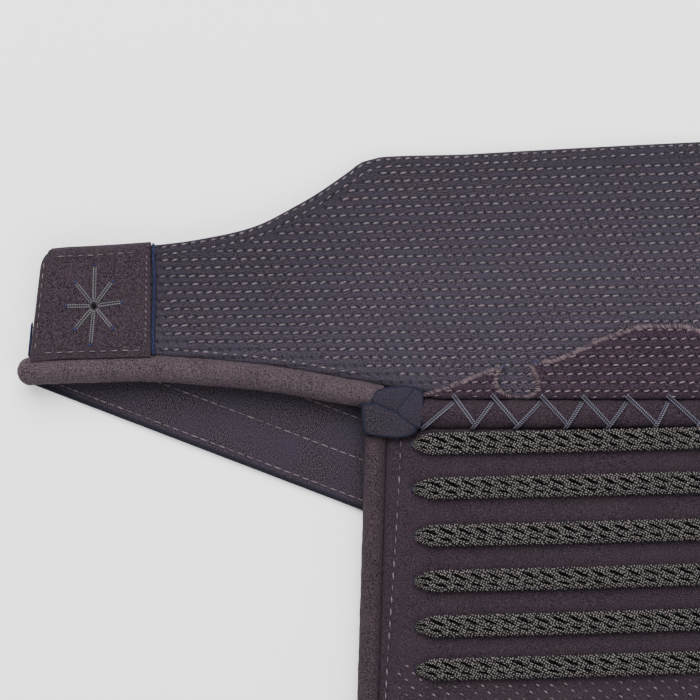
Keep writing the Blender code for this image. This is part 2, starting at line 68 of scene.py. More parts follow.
def smooth(share):
    """Rises from 0 to 1 as a cubic with level ends, and stays there outside them."""
    share = np.clip(share, 0, 1)
    return share * share * (3 - 2 * share)


def linear(hex_colour):
    """An sRGB hex colour as linear red, green, blue and 1."""
    parts = [int(hex_colour[i : i + 2], 16) / 255 for i in (1, 3, 5)]
    return [p / 12.92 if p <= 0.04045 else ((p + 0.055) / 1.055) ** 2.4 for p in parts] + [1]


def add(tree, kind, inputs=None, **settings):
    """Adds a shader node; each input is a value or the socket that feeds it."""
    made = tree.nodes.new("ShaderNode" + kind)
    for key, value in settings.items():
        setattr(made, key, value)
    for key, value in (inputs or {}).items():
        if isinstance(value, bpy.types.NodeSocket):
            tree.links.new(value, made.inputs[key])
        else:
            made.inputs[key].default_value = value
    return made


def noise(tree, place, scale, detail, **more):
    """The value of a noise texture at a place."""
    inputs = {"Vector": place, "Scale": scale, "Detail": detail, **more}
    return add(tree, "TexNoise", inputs).outputs["Fac"]


def maths(tree, operation, *values):
    """The result of a math node on one to three values or sockets."""
    return add(tree, "Math", dict(enumerate(values)), operation=operation).outputs[0]


def ranged(tree, value, low, high, first=0.0, last=1.0, kind="LINEAR"):
    """A value carried from the range low to high over to first to last, and held at its ends."""
    inputs = dict(enumerate((value, low, high, first, last)))
    return add(tree, "MapRange", inputs, interpolation_type=kind).outputs[0]


def mixed(tree, share, first, second):
    """Two colours mixed by a share; each is a hex colour or a socket."""
    first, second = (linear(c) if isinstance(c, str) else c for c in (first, second))
    return add(tree, "Mix", {0: share, 6: first, 7: second}, data_type="RGBA").outputs[2]


def slanted(tree, place, x, y):
    """How far a place is along a slant: its dot product with (x, y, 0)."""
    inputs = {0: place, 1: (x, y, 0)}
    return add(tree, "VectorMath", inputs, operation="DOT_PRODUCT").outputs["Value"]


def dimmed(tree, colour, painted_shading):
    """A colour times a painted shading value."""
    return add(tree, "VectorMath", {0: colour, "Scale": painted_shading}, operation="SCALE").outputs[0]


def begin(name, roughness, specular=0.08, sheen=0.0, sheen_tint="#ffffff"):
    """A new material: its node tree and shader, with the constants set on the shader."""
    finish = bpy.data.materials.new(name)
    finish.use_nodes = True
    tree = finish.node_tree
    shader = tree.nodes["Principled BSDF"]
    shader.inputs["Roughness"].default_value = roughness
    shader.inputs["Specular IOR Level"].default_value = specular
    shader.inputs["Sheen Weight"].default_value = sheen
    shader.inputs["Sheen Roughness"].default_value = 0.5
    shader.inputs["Sheen Tint"].default_value = linear(sheen_tint)
    return finish, tree, shader


def dress(tree, shader, colour, height, relief, strength=0.6):
    """Joins a colour and a relief of so many millimetres to the shader."""
    inputs = {"Height": height, "Strength": strength, "Distance": relief * 0.001}
    tree.links.new(colour, shader.inputs["Base Color"])
    tree.links.new(add(tree, "Bump", inputs).outputs["Normal"], shader.inputs["Normal"])


def quilt(tree, shader, colour, level, rows, share):
    """Dresses a cloth or hide; where it has rows, their hollows are deep and darkened with painted
    shade.
    """
    height, relief = level, FINE_RELIEF
    if rows:
        hollow, painted_shading = rows(tree)
        height = maths(tree, "MULTIPLY_ADD", level, share, hollow)
        colour, relief = dimmed(tree, colour, painted_shading), QUILT_RELIEF
    dress(tree, shader, colour, height, relief)


def piece(name, points, faces, finish, uv, values=None):
    """A closed mesh from points in millimetres and groups of faces, turned to face outwards.

    The signed volume is the sum over each face's fan of triangles; if it is negative, every
    face is turned round. uv holds maps by name, in millimetres, and values per point.
    """
    points = np.asarray(points, float).reshape(-1, 3) * 0.001
    groups = [np.asarray(group) for group in faces if len(group)]
    volume = 0.0
    for group in groups:
        corner = points[group]
        for k in range(1, group.shape[1] - 1):
            normal = np.cross(corner[:, k], corner[:, k + 1])
            volume += np.einsum("ij,ij->", corner[:, 0], normal)
    if volume < 0:
        groups = [group[:, ::-1] for group in groups]
    loops = np.concatenate([group.ravel() for group in groups])
    sizes = np.concatenate([np.full(len(group), group.shape[1]) for group in groups])
    mesh = bpy.data.meshes.new(name)
    mesh.vertices.add(len(points))
    mesh.vertices.foreach_set("co", points.astype(np.float32).ravel())
    mesh.loops.add(len(loops))
    mesh.loops.foreach_set("vertex_index", loops.astype(np.int32))
    mesh.polygons.add(len(sizes))
    mesh.polygons.foreach_set("loop_start", (np.cumsum(sizes) - sizes).astype(np.int32))
    for key, coordinates in uv.items():
        layer = mesh.uv_layers.new(name=key)
        flat = np.asarray(coordinates, np.float32).reshape(-1, 2)
        layer.data.foreach_set("uv", flat[loops].ravel())
    for key, numbers in (values or {}).items():
        layer = mesh.attributes.new(key, "FLOAT", "POINT")
        layer.data.foreach_set("value", np.asarray(numbers, np.float32).ravel())
    mesh.update(calc_edges=True)
    mesh.validate()
    mesh.shade_smooth()
    mesh.materials.append(finish)
    made = bpy.data.objects.new(name, mesh)
    bpy.context.scene.collection.objects.link(made)
    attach(made, "root")
    return made


def grid_faces(rows, columns, around=False):
    """Quads between the neighbours of a grid of points, whose rows may close on themselves."""
    index = np.arange(rows * columns).reshape(rows, columns)
    if around:
        index = np.concatenate([index, index[:, :1]], axis=1)
    quads = [index[:-1, :-1], index[:-1, 1:], index[1:, 1:], index[1:, :-1]]
    return np.stack(quads, axis=-1).reshape(-1, 4)


def tube_faces(count, sides):
    """Faces of a closed tube of so many rings: quads between them, and a flat end on each."""
    ring = np.arange(sides)[None]
    return [grid_faces(count, sides, around=True), ring[:, ::-1], ring + (count - 1) * sides]


def unit(vectors):
    """Vectors scaled to length 1."""
    return vectors / np.maximum(np.linalg.norm(vectors, axis=-1, keepdims=True), 1e-12)


def normals_of(grid):
    """Unit normals of a grid of points: the cross product of its two slopes."""
    return unit(np.cross(np.gradient(grid, axis=0), np.gradient(grid, axis=1)))


def wall(name, middle, front, back, finish, uv, upright=False, values=None):
    """A thin closed wall: the middle surface moved out by front and in by back, and joined.

    Each point goes along its normal, or straight up and down. A rim joins the two all round.
    """
    rows, columns = middle.shape[:2]
    normal = np.array([0.0, 0, 1]) if upright else normals_of(middle)
    outer = middle + normal * np.asarray(front)[..., None]
    inner = middle - normal * np.asarray(back)[..., None]
    face = grid_faces(rows, columns)
    index = np.arange(rows * columns).reshape(rows, columns)
    rim = np.concatenate(
        [index[0, :-1], index[:-1, -1], index[-1, :0:-1], index[:0:-1, 0]]
    )
    after = np.roll(rim, -1)
    under = rows * columns
    side = np.stack([after, rim, rim + under, after + under], axis=-1)
    points = np.concatenate([outer.reshape(-1, 3), inner.reshape(-1, 3)])
    maps = {key: np.concatenate([m.reshape(-1, 2)] * 2) for key, m in uv.items()}
    values = {key: np.tile(v.ravel(), 2) for key, v in (values or {}).items()}
    faces = [face, face[:, ::-1] + under, side]
    return piece(name, points, faces, finish, maps, values)


def round_end(reach, least=0.0):
    """Share of full size near a round end, at a distance in radii: sqrt(1 - (1 - reach)^2)."""
    return np.sqrt(1 - (1 - np.clip(reach, least, 1)) ** 2)


def edge_round(distance, thick):
    """Half-round edge: the share of the half thickness left, of which a quarter is the rim's."""
    return 0.25 + 0.75 * round_end(distance / (thick / 2))


def near_edges(length, step, thick):
    """Stations from 0 to length, a step apart, with closer ones where the edge turns."""
    turn = thick / 2 * np.array([0, 0.07, 0.25, 0.6])
    inner = np.linspace(thick / 2, length - thick / 2, max(2, round((length - thick) / step)))
    return np.concatenate([turn, inner, length - turn[::-1]])


def stitches(name, start, end, radius, finish, seed, lift=0.25, sides=4):
    """Short threads in one mesh: each a thin rod from start to end that arches upwards.

    Along a stitch its radius is full in the middle and small at the ends, and its height is
    lift times 1 minus the square of the place from -1 to 1, less a little to bury the ends.
    """
    count = len(start)
    along = np.array([0.0, 0.18, 0.5, 0.82, 1.0] if sides > 4 else [0, 0.3, 0.7, 1.0])
    size = radius * np.clip(1.15 - 0.9 * np.abs(2 * along - 1) ** 3, 0.35, 1)
    rise = lift * (1 - (2 * along - 1) ** 2) - 0.08
    path = start[:, None] + (end - start)[:, None] * along[None, :, None]
    path = path + UP * rise[None, :, None]
    across = unit(np.cross(end - start, UP))
    turn = 2 * math.pi * (np.arange(sides) + 0.5) / sides
    ring = np.cos(turn)[:, None] * across[:, None, None] + np.sin(turn)[:, None] * UP
    points = path[:, :, None] + ring * size[None, :, None, None]
    each = len(along) * sides
    offset = (np.arange(count) * each)[:, None, None]
    faces = [
        (group[None] + offset).reshape(-1, group.shape[1])
        for group in tube_faces(len(along), sides)
    ]
    tone = np.repeat(np.random.default_rng(seed).random(count), each)
    length = np.linalg.norm(end - start, axis=1)
    uv = np.zeros((count, len(along), sides, 2))
    uv[..., 0] = along[None, :, None] * length[:, None, None]
    uv[..., 1] = np.arange(sides) / sides
    return piece(name, points, faces, finish, {"UVMap": uv}, {"tone": tone})


def strap_surface(side, along, down):
    """Middle surface of a strap: a flat strip turned back over a fold line.

    The line leans by half the strap's slope. Flat, a point has a distance past the line and a
    place on it. Past the line it goes round a half circle, then straight back under the root.
    """
    lean = STRAP_SLOPE / 2
    radius = (STRAP_THICK + STRAP_FOLD_GAP) / 2
    turn = math.pi * radius
    top_x = CORNER_X + EAR_REACH - STRAP_WIDE * math.tan(lean)
    top_y = SEAM_Y + EAR_RISE - GAP
    middle_x = top_x + STRAP_WIDE / 2 * math.tan(lean)
    crossing_y = top_y - STRAP_WIDE / 2 - middle_x * math.tan(STRAP_SLOPE)
    along, down = np.meshgrid(along, down, indexing="ij")
    away = np.abs(along - turn / 2) - turn / 2
    slanted = 1 - smooth(away / STRAP_ROOT)
    flat = along / math.cos(lean) + down * math.tan(lean) * slanted
    past = flat * math.cos(lean) - down * math.sin(lean)
    line = flat * math.sin(lean) + down * math.cos(lean)
    angle = np.clip(past, 0, turn) / radius
    out = np.where(past <= 0, past, np.where(past < turn, radius * np.sin(angle), turn - past))
    z = STRAP_THICK / 2 + radius * (1 + np.cos(angle))
    x = side * (top_x + out * math.cos(lean) + line * math.sin(lean))
    y = top_y + out * math.sin(lean) - line * math.cos(lean)
    if side > 0:
        off = (y - crossing_y) * math.cos(STRAP_SLOPE) + x * math.sin(STRAP_SLOPE)
        clear = STRAP_WIDE / 2 + STRAP_LIFT_EASE / 2
        z = z + (STRAP_THICK + GAP) * (1 - smooth((np.abs(off) - clear) / STRAP_LIFT_EASE))
    return np.stack([x, y, z], axis=-1)


def twill(name, dark, pale, fleck, period=0.9, rough=0.9, rows=None, hem=None):
    """Dyed cotton twill: fine diagonal ribs, uneven yarn and faded patches.

    To the eye it is matt, with a faint slant in it and bluish and reddish yarns mixed. The
    real ribs are about 0.5 mm apart; they are drawn at 0.9 mm, the finest that shows. Yarns
    are uneven over 0.5 mm, and the dye over 17 mm. A hem colour takes over at hem value 1.
    """
    finish, tree, shader = begin(name, rough, sheen=0.06, sheen_tint="#8a8090")
    place = add(tree, "UVMap", uv_map="UVMap").outputs["UV"]
    bend = noise(tree, place, 0.35, 2.0)
    rib = slanted(tree, place, 1 / period, -0.8 / period)
    rib = maths(tree, "MULTIPLY_ADD", bend, 1.5, rib)
    rib = maths(tree, "SINE", maths(tree, "MULTIPLY", rib, 2 * math.pi))
    yarn = noise(tree, place, 1.9, 2.0, Roughness=0.7)
    level = ranged(tree, maths(tree, "MULTIPLY_ADD", rib, 0.05, yarn), 0.43, 0.59)
    faded = ranged(tree, noise(tree, place, 0.06, 4.0), 0.42, 0.66, 0.0, 0.55)
    cloth = mixed(tree, faded, mixed(tree, level, dark, pale), fleck)
    if hem:
        turned = add(tree, "Attribute", attribute_name="hem").outputs["Fac"]
        cloth = mixed(tree, maths(tree, "MULTIPLY", turned, 0.88), cloth, hem)
    quilt(tree, shader, cloth, level, rows, 0.28)
    return finish


def thread(name, pale, aged, ply=0.9, low=0.72, high=1.08):
    """Twisted sewing thread: painted highlight and shade of its two plies, slanted along each
    stitch.

    The slant repeats every ply of its length, and each stitch is as faded as its tone says.
    """
    finish, tree, shader = begin(name, 0.75, 0.1, 0.04)
    place = add(tree, "UVMap", uv_map="UVMap").outputs["UV"]
    turns = maths(tree, "MULTIPLY", slanted(tree, place, 1 / ply, 1), 2 * math.pi)
    # Painted highlight and shade of the plies: from low to high times the colour.
    painted_shading = ranged(tree, maths(tree, "SINE", turns), -1.0, 1.0, low, high)
    tone = add(tree, "Attribute", attribute_name="tone").outputs["Fac"]
    colour = dimmed(tree, mixed(tree, tone, pale, aged), painted_shading)
    tree.links.new(colour, shader.inputs["Base Color"])
    return finish


strap_cloth = twill("dark_cotton_twill_strap", "#141016", "#3e363e", "#2d2832", hem="#16161e")
strap_thread = thread("greyish_pink_strap_thread", "#62565a", "#473d41")
strap_along = np.concatenate(
    [
        np.linspace(-STRAP_ROOT, 0, 14)[:-1],
        np.linspace(0, STRAP_TURN, 13)[:-1],
        np.linspace(STRAP_TURN, STRAP_FAR, 136),
    ]
)
strap_down = near_edges(STRAP_WIDE, 1.2, STRAP_THICK)
pull = sum(np.exp(-(((strap_down - row) / PULL_WIDE) ** 2)) for row in STRAP_ROWS)
edge = np.minimum(strap_down, STRAP_WIDE - strap_down)
strap_half = STRAP_THICK / 2 * edge_round(edge, STRAP_THICK) - PULL_DEEP * pull
ripple = RIPPLE_HIGH * np.sin(strap_along[:, None] / RIPPLE_ALONG + strap_down / RIPPLE_ACROSS)
strap_uv = np.stack(np.meshgrid(strap_along, strap_down, indexing="ij"), axis=-1)
strap_hem = np.broadcast_to(smooth((STRAP_HEM - edge) / HEM_EASE), ripple.shape)
thread_at = np.arange(STRAP_TURN + THREAD_FIRST, STRAP_FAR - THREAD_LAST, THREAD_PITCH)
for side, name in ((-1, "strap_left"), (1, "strap_right")):
    middle = strap_surface(side, strap_along, strap_down)[:, ::-side]
    half = np.broadcast_to(strap_half, ripple.shape)
    cloth = wall(
        f"{name}_cloth", middle, half + ripple, half, strap_cloth,
        {"UVMap": strap_uv}, values={"hem": strap_hem},
    )
    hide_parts(name)
    heads, tails = [], []
    for row in STRAP_ROWS:
        shift = thread_at + THREAD_STRAY * math.sin(row)
        heads.append(strap_surface(side, shift, [row])[:, 0])
        tails.append(strap_surface(side, shift + THREAD_SEEN, [row])[:, 0])
    up = UP * (STRAP_THICK / 2 - THREAD_SUNK)
    start, end = np.concatenate(heads) + up, np.concatenate(tails) + up
    stitches(f"{name}_thread", start, end, THREAD_RADIUS, strap_thread, seed=5)

# Small flaps
# Two felt-padded flaps faced with dark leather hang behind the gaps of the large ones.
# Each has a leather roll sewn round it, and a thin cloth tongue sewn behind the waist band.

SMALL_WIDTH, SMALL_DROP, SMALL_THICK, SMALL_ROLL, SMALL_FLARE = 149.0, 238.0, 6.0, 7.5, 3.0
SMALL_TUCK, SMALL_OVERLAP, SMALL_SIDES, SMALL_CREASE = 1.5, 0.2, 16, 0.03
TONGUE_THICK, TONGUE_REACH, TONGUE_SHOULDER = 1.6, 14.0, 8
FLAP_CORNER, FLAP_ROLL, LACED_ROLL, EAR_ROLL = 14.0, 8.8, 12.4, 10.4
CORNER_CUT, CUT_ACROSS, CUT_UP = 0.15, 0.13, 0.05
ROLL_STEP, ROLL_BLUNT = 1.8, 3
CREASES = (5.3, 7.9, 12.1, 23.0)
BAND_THICK = 9.0
SAG_START, COVER_EASE = 140.0, 84.0
SMALL_X = (FLAP_WIDTH + FLAP_SPACING) / 2
SMALL_TOP = SEAM_Y - LACED_ROLL / 2 - SMALL_TUCK
STRAP_STACK = 2 * STRAP_THICK + 2 * GAP
COVER_HIGH = SMALL_ROLL + GAP
EAR_BED = 2 * STRAP_THICK + STRAP_FOLD_GAP + GAP
SMALL_OUTER = SMALL_X + SMALL_WIDTH / 2 + SMALL_FLARE + GAP


def small_lie(y):
    """Height of a small flap's underside: on the crossed straps, then down to the floor."""
    return STRAP_STACK * (1 - smooth((SEAM_Y - y - SAG_START) / (SMALL_DROP - SAG_START)))


def large_lie(x, y):
    """Height of a large flap's underside: over the small flaps, then down beside them."""
    return small_lie(y) + COVER_HIGH * (1 - smooth((np.abs(x) - SMALL_OUTER) / COVER_EASE))


def seam_z(x):
    """Height of the middle of the rolls and of the band's lower edge."""
    ear = smooth((np.abs(x) - CORNER_X) / (EAR_REACH / 2))
    level = large_lie(x, SEAM_Y) + FLAP_ROLL / 2
    return level + (EAR_BED + EAR_ROLL / 2 - level) * ear


def suede(name, dark, pale, bloom, grain=1.0, rough=0.88, rows=None):
    """Smoked deer leather, flesh side out: matt, napped, blotched and a little plum.

    The nap's speckle is 0.4 mm times the grain, and rubbed places of 15 mm are browner.
    """
    finish, tree, shader = begin(name, rough, sheen=0.07, sheen_tint="#9a8a96")
    place = add(tree, "TexCoord").outputs["Object"]
    nap = noise(tree, place, 2300 / grain, 2.0, Roughness=0.7)
    rubbed = noise(tree, place, 65.0, 4.0, Roughness=0.6)
    level = ranged(tree, nap, 0.40, 0.61)
    worn = ranged(tree, rubbed, 0.45, 0.75, 0.0, 0.32)
    hide = mixed(tree, worn, mixed(tree, level, dark, pale), bloom)
    quilt(tree, shader, hide, level, rows, 0.25)
    return finish


def run_along(points):
    """Distance of each point of a line from its first, along the line."""
    return np.concatenate([[0], np.cumsum(np.linalg.norm(np.diff(points, axis=0), axis=1))])


def sweep(name, path, radius, finish, sides, flat=1.0, up=UP):
    """A closed tube: at each station a ring square to the path.

    Ring point at angle a: path + r (cos a side + flat sin a over), where side is the unit
    cross product of the path's direction and up, and over that of side and the direction.
    radius is one for each station, or one for each station and angle.
    """
    count = len(path)
    direction = unit(np.gradient(path, axis=0))
    side = unit(np.cross(direction, up))
    over = np.cross(side, direction)
    angle = 2 * math.pi * np.arange(sides) / sides
    radius = radius[:, None] if radius.ndim < 2 else radius
    radius = np.broadcast_to(radius, (count, sides))
    ring = np.cos(angle)[:, None] * side[:, None] + flat * np.sin(angle)[:, None] * over[:, None]
    points = path[:, None] + radius[..., None] * ring
    around = angle[None] * radius.mean()
    uv = np.stack(np.broadcast_arrays(run_along(path)[:, None], around), axis=-1)
    return piece(name, points, tube_faces(count, sides), finish, {"UVMap": uv})


def resampled(points, step):
    """Points along a line at even distances of about a step."""
    run = run_along(points)
    at = np.linspace(0, run[-1], max(2, round(run[-1] / step) + 1))
    return np.stack([np.interp(at, run, column) for column in np.transpose(points)], axis=-1)


def blunt(count, step, radius):
    """Shares of a tube's radius that round off both of its ends."""
    run = np.arange(count) * step
    return round_end(np.minimum(run, run[::-1]) / radius, 0.03)


def wrinkled(count, sides, step, depth, seed):
    """Small crosswise creases of a roll's leather, as shares of its radius.

    A sum of waves along the roll, one for each length in CREASES, each slanted round it.
    """
    rng = np.random.default_rng(seed)
    run = np.arange(count)[:, None] * step
    angle = 2 * math.pi * np.arange(sides)[None] / sides
    total = 0
    for length in CREASES:
        lean, start = rng.integers(-1, 2), rng.random() * 6.28
        total = total + np.sin(run * 2 * math.pi / length + lean * angle + start)
    return 1 + depth * total / len(CREASES)


def roll_path(edges, bottom, tops, radius):
    """Middle line of a flap's edge roll: down the left side, along the bottom and up."""
    top = max(tops)
    drop = top - bottom(edges[0])
    turn = np.linspace(0, math.pi / 2, 9)
    lines = []
    for way, edge, flare, end_y in zip((1, -1), edges[:2], edges[2:], tops):
        corner_y = bottom(edge) + radius + FLAP_CORNER
        corner_x, end_x = (
            edge - way * (flare * (top - y) / drop - radius) for y in (corner_y, end_y)
        )
        bend_x = corner_x + way * FLAP_CORNER * (1 - np.cos(turn))
        bend = np.stack([bend_x, corner_y - FLAP_CORNER * np.sin(turn)], axis=-1)
        lines.append(np.concatenate([[(end_x, end_y)], bend]))
    down, rise = lines[0], lines[1][::-1]
    along = np.linspace(down[-1, 0], rise[0, 0], 12)[1:-1]
    low = np.stack([along, bottom(along) + radius], axis=-1)
    return resampled(np.concatenate([down, low, rise]), ROLL_STEP)


def edge_roll(name, line, z, thick, sides, depth, seed):
    """A flap's edge roll: a wrinkled tube along its middle line, blunt at both ends."""
    path = np.column_stack([line, z])
    radius = thick / 2 * wrinkled(len(path), sides, ROLL_STEP, depth, seed)
    radius = radius * blunt(len(path), ROLL_STEP, ROLL_BLUNT)[:, None]
    made = sweep(f"{name}_roll_leather", path, radius, roll_leather, sides)
    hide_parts(f"{name}_edge_roll")


def flap_area(edges, bottom, top, full, inset, across, up):
    """Places of a flap's panel inside its roll, as x and y, with the lower corners drawn in."""
    left, right, flare_left, flare_right = edges
    across, up = np.meshgrid(across, up, indexing="ij")
    flat_x = left + inset + (right - left - 2 * inset) * across
    low = bottom(flat_x) + inset
    y = low + (top(flat_x) - low) * up
    down = (full - y) / (full - bottom(left))
    x_left = left - flare_left * down + inset
    x_right = right + flare_right * down - inset
    cut = CORNER_CUT * FLAP_CORNER * smooth((np.abs(2 * across - 1) - 1) / CUT_ACROSS + 1)
    cut = cut * smooth((CUT_UP - up) / CUT_UP)
    x = x_left + (x_right - x_left) * across + cut * np.where(across < 0.5, 1, -1)
    return x, y + cut


def to_edge(x, y):
    """Distance of a grid's points from its nearest side, worked out along its two ways."""
    runs = []
    for axis in (0, 1):
        step = np.hypot(np.diff(x, axis=axis), np.diff(y, axis=axis))
        start = np.zeros_like(np.take(step, [0], axis))
        run = np.concatenate([start, np.cumsum(step, axis)], axis)
        runs.append(np.minimum(run, np.take(run, [-1], axis) - run))
    return np.minimum(*runs)


def small_bottom(x):
    """Lower edge of a small flap, which is straight."""
    return np.full_like(np.asarray(x, float), SEAM_Y - SMALL_DROP)


small_leather = suede("dark_leather_small_flap", "#0f0a0d", "#2b2127", "#2d2326")
roll_leather = suede("smoked_leather_roll", "#140f13", "#3e333a", "#3b2f32", 1.1)
small_across, small_up = near_edges(1, 0.028, 0.04), np.linspace(0, 1, 70)
tongue_rise = np.linspace(0, 1, 12)[None, 1:]
for side, name in ((-1, "small_flap_left"), (1, "small_flap_right")):
    centre = side * SMALL_X
    edges = (centre - SMALL_WIDTH / 2, centre + SMALL_WIDTH / 2, SMALL_FLARE, SMALL_FLARE)
    x, y = flap_area(
        edges, small_bottom, lambda x: SMALL_TOP, SMALL_TOP, SMALL_ROLL + GAP - SMALL_OVERLAP,
        small_across, small_up,
    )
    half = SMALL_THICK / 2 * edge_round(to_edge(x, y), SMALL_THICK)
    half[:, -TONGUE_SHOULDER:] = half[:, [-1 - TONGUE_SHOULDER]]
    z = small_lie(y) + SMALL_ROLL / 2
    tongue_y = SMALL_TOP + (SEAM_Y + TONGUE_REACH - SMALL_TOP) * tongue_rise + 0 * x[:, :1]
    tongue_x = x[:, -1:] + 0 * tongue_y
    share = smooth((tongue_y - SEAM_Y) / (LACED_ROLL / 4) - 1)
    under = seam_z(tongue_x) - GAP - TONGUE_THICK / 2
    tongue_z = under - LACED_ROLL / 2 + (LACED_ROLL - BAND_THICK) / 2 * share
    middle = np.stack(
        [np.hstack([x, tongue_x]), np.hstack([y, tongue_y]), np.hstack([z, tongue_z])], axis=-1
    )
    half = np.hstack([half, np.full(tongue_y.shape, TONGUE_THICK / 2)])
    made = wall(
        f"{name}_panel", middle, half, half, small_leather,
        {"UVMap": middle[..., :2]}, upright=True,
    )
    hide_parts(name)
    line = roll_path(edges, small_bottom, (SMALL_TOP, SMALL_TOP), SMALL_ROLL / 2)
    roll_z = small_lie(line[:, 1]) + SMALL_ROLL / 2
    edge_roll(name, line, roll_z, SMALL_ROLL, SMALL_SIDES, SMALL_CREASE, 11 + side)

# Large flaps
# Three thick felt flaps faced with smoked leather, each with a leather roll sewn round it.
# A stitched line runs down each side, and rows of short slanted stitches fill the lower part.

FLAPS = ((-1, "flap_left"), (0, "flap_middle"), (1, "flap_right"))
FLAP_THICK, OUTER_FLARE, INNER_FLARE = 7.0, 7.6, 2.0
FLAP_OVERLAP, FLAP_TUCK, FLAP_SIDES, FLAP_CREASE = 0.5, 0.7, 18, 0.035
SIDE_TILT = math.radians(1.6)
BINDING_LONG, BINDING_TALL, BINDING_OVER = 25.0, 20.0, 1.5
BINDING_TUCK, BINDING_EDGE, BINDING_EASE = 1.5, 3.0, 2
BINDING_INNER = CORNER_X + BINDING_OVER - BINDING_LONG
CORD_ROWS, CORD_PITCH, CORD_FIRST, CORD_INSET = 6, 18.0, 12.8, 18.5
CORD_WIDE, CORD_HIGH, CORD_FAN = 8.8, 4.4, math.radians(0.6)
CORD_STRAY = (0.8, 0.9, 0.0, -0.2, -0.3, 0.5)
LINE_INSET_TOP, LINE_INSET_LOW, LINE_WIDE, LINE_DEEP = 14.2, 11.0, 1.6, 0.55
LINE_FIRST, LINE_LAST, LINE_PITCH, LINE_STITCH = 4, 226, 4.8, (0.1, -2.9)
LOW_FIRST, LOW_LAST, LOW_ROW, LOW_PITCH, LOW_STITCH = -2.0, 150, 2.9, 5.5, (1.5, -1.05)
LOW_LEFT, LOW_RIGHT, LOW_UP, LOW_SIDE, LOW_STRAY = 14, 15, 13, 13, 0.16
FLAP_THREAD, FLAP_THREAD_LIFT, FLAP_THREAD_RISE, LINE_SUNK = 0.4, 0.36, 0.06, 0.26
FLAP_PUFF, FLAP_FULL = (0.16, 17, 13, 0.1, 6.1, -8.3), 3.2
FLAP_TOP = SEAM_Y - LACED_ROLL / 2 - GAP


def flap_z(x, y):
    """Middle plane of a large flap."""
    return large_lie(x, y) + FLAP_ROLL / 2


def flap_edges(index):
    """Top corners and flare of a large flap: left x, right x, left flare, right flare."""
    centre = index * (FLAP_WIDTH + FLAP_SPACING)
    flares = {
        -1: (OUTER_FLARE, -INNER_FLARE),
        0: (INNER_FLARE, INNER_FLARE),
        1: (-INNER_FLARE, OUTER_FLARE),
    }
    return (centre - FLAP_WIDTH / 2, centre + FLAP_WIDTH / 2, *flares[index])


def panel_top(x):
    """Top edge of a large flap: tucked under the laced roll, and lower under the binding."""
    beside = np.clip((np.abs(x) - BINDING_INNER + BINDING_EASE) / (BINDING_LONG / 2), 0, 1)
    clear = (BINDING_TALL - LACED_ROLL) / 2 - BINDING_TUCK
    return SEAM_Y - LACED_ROLL / 2 + FLAP_TUCK - clear * beside


def cord_line(index, row, x):
    """Height on the page of a cord's middle line: the rows fan a little on the side flaps."""
    left, right = flap_edges(index)[:2]
    start, end = left + CORD_INSET, right - CORD_INSET
    tilt = math.tan(SIDE_TILT + CORD_FAN * (row / (CORD_ROWS - 1) - 0.5))
    outer = CORD_FIRST + CORD_PITCH * row - (0 if index else (end - start) / 2 * tilt)
    inward = {-1: x - start, 0: 0 * x, 1: end - x}[index]
    return SEAM_Y - outer + inward * tilt + CORD_STRAY[row]


def line_inset(down):
    """Inset of the stitched line from a flap's side, at a share of the way down."""
    return LINE_INSET_TOP + (LINE_INSET_LOW - LINE_INSET_TOP) * smooth(down / 0.5)


def puffed(x, y, puff, start=0.0):
    """Uneven filling of a padded piece, as its height at a place.

    For puff (h, a, b, k, c, d) it is h sin(x/a + start) sin(y/b) + k sin(x/c + y/d).
    """
    high, a, b, low, c, d = puff
    return high * np.sin(x / a + start) * np.sin(y / b) + low * np.sin(x / c + y / d)


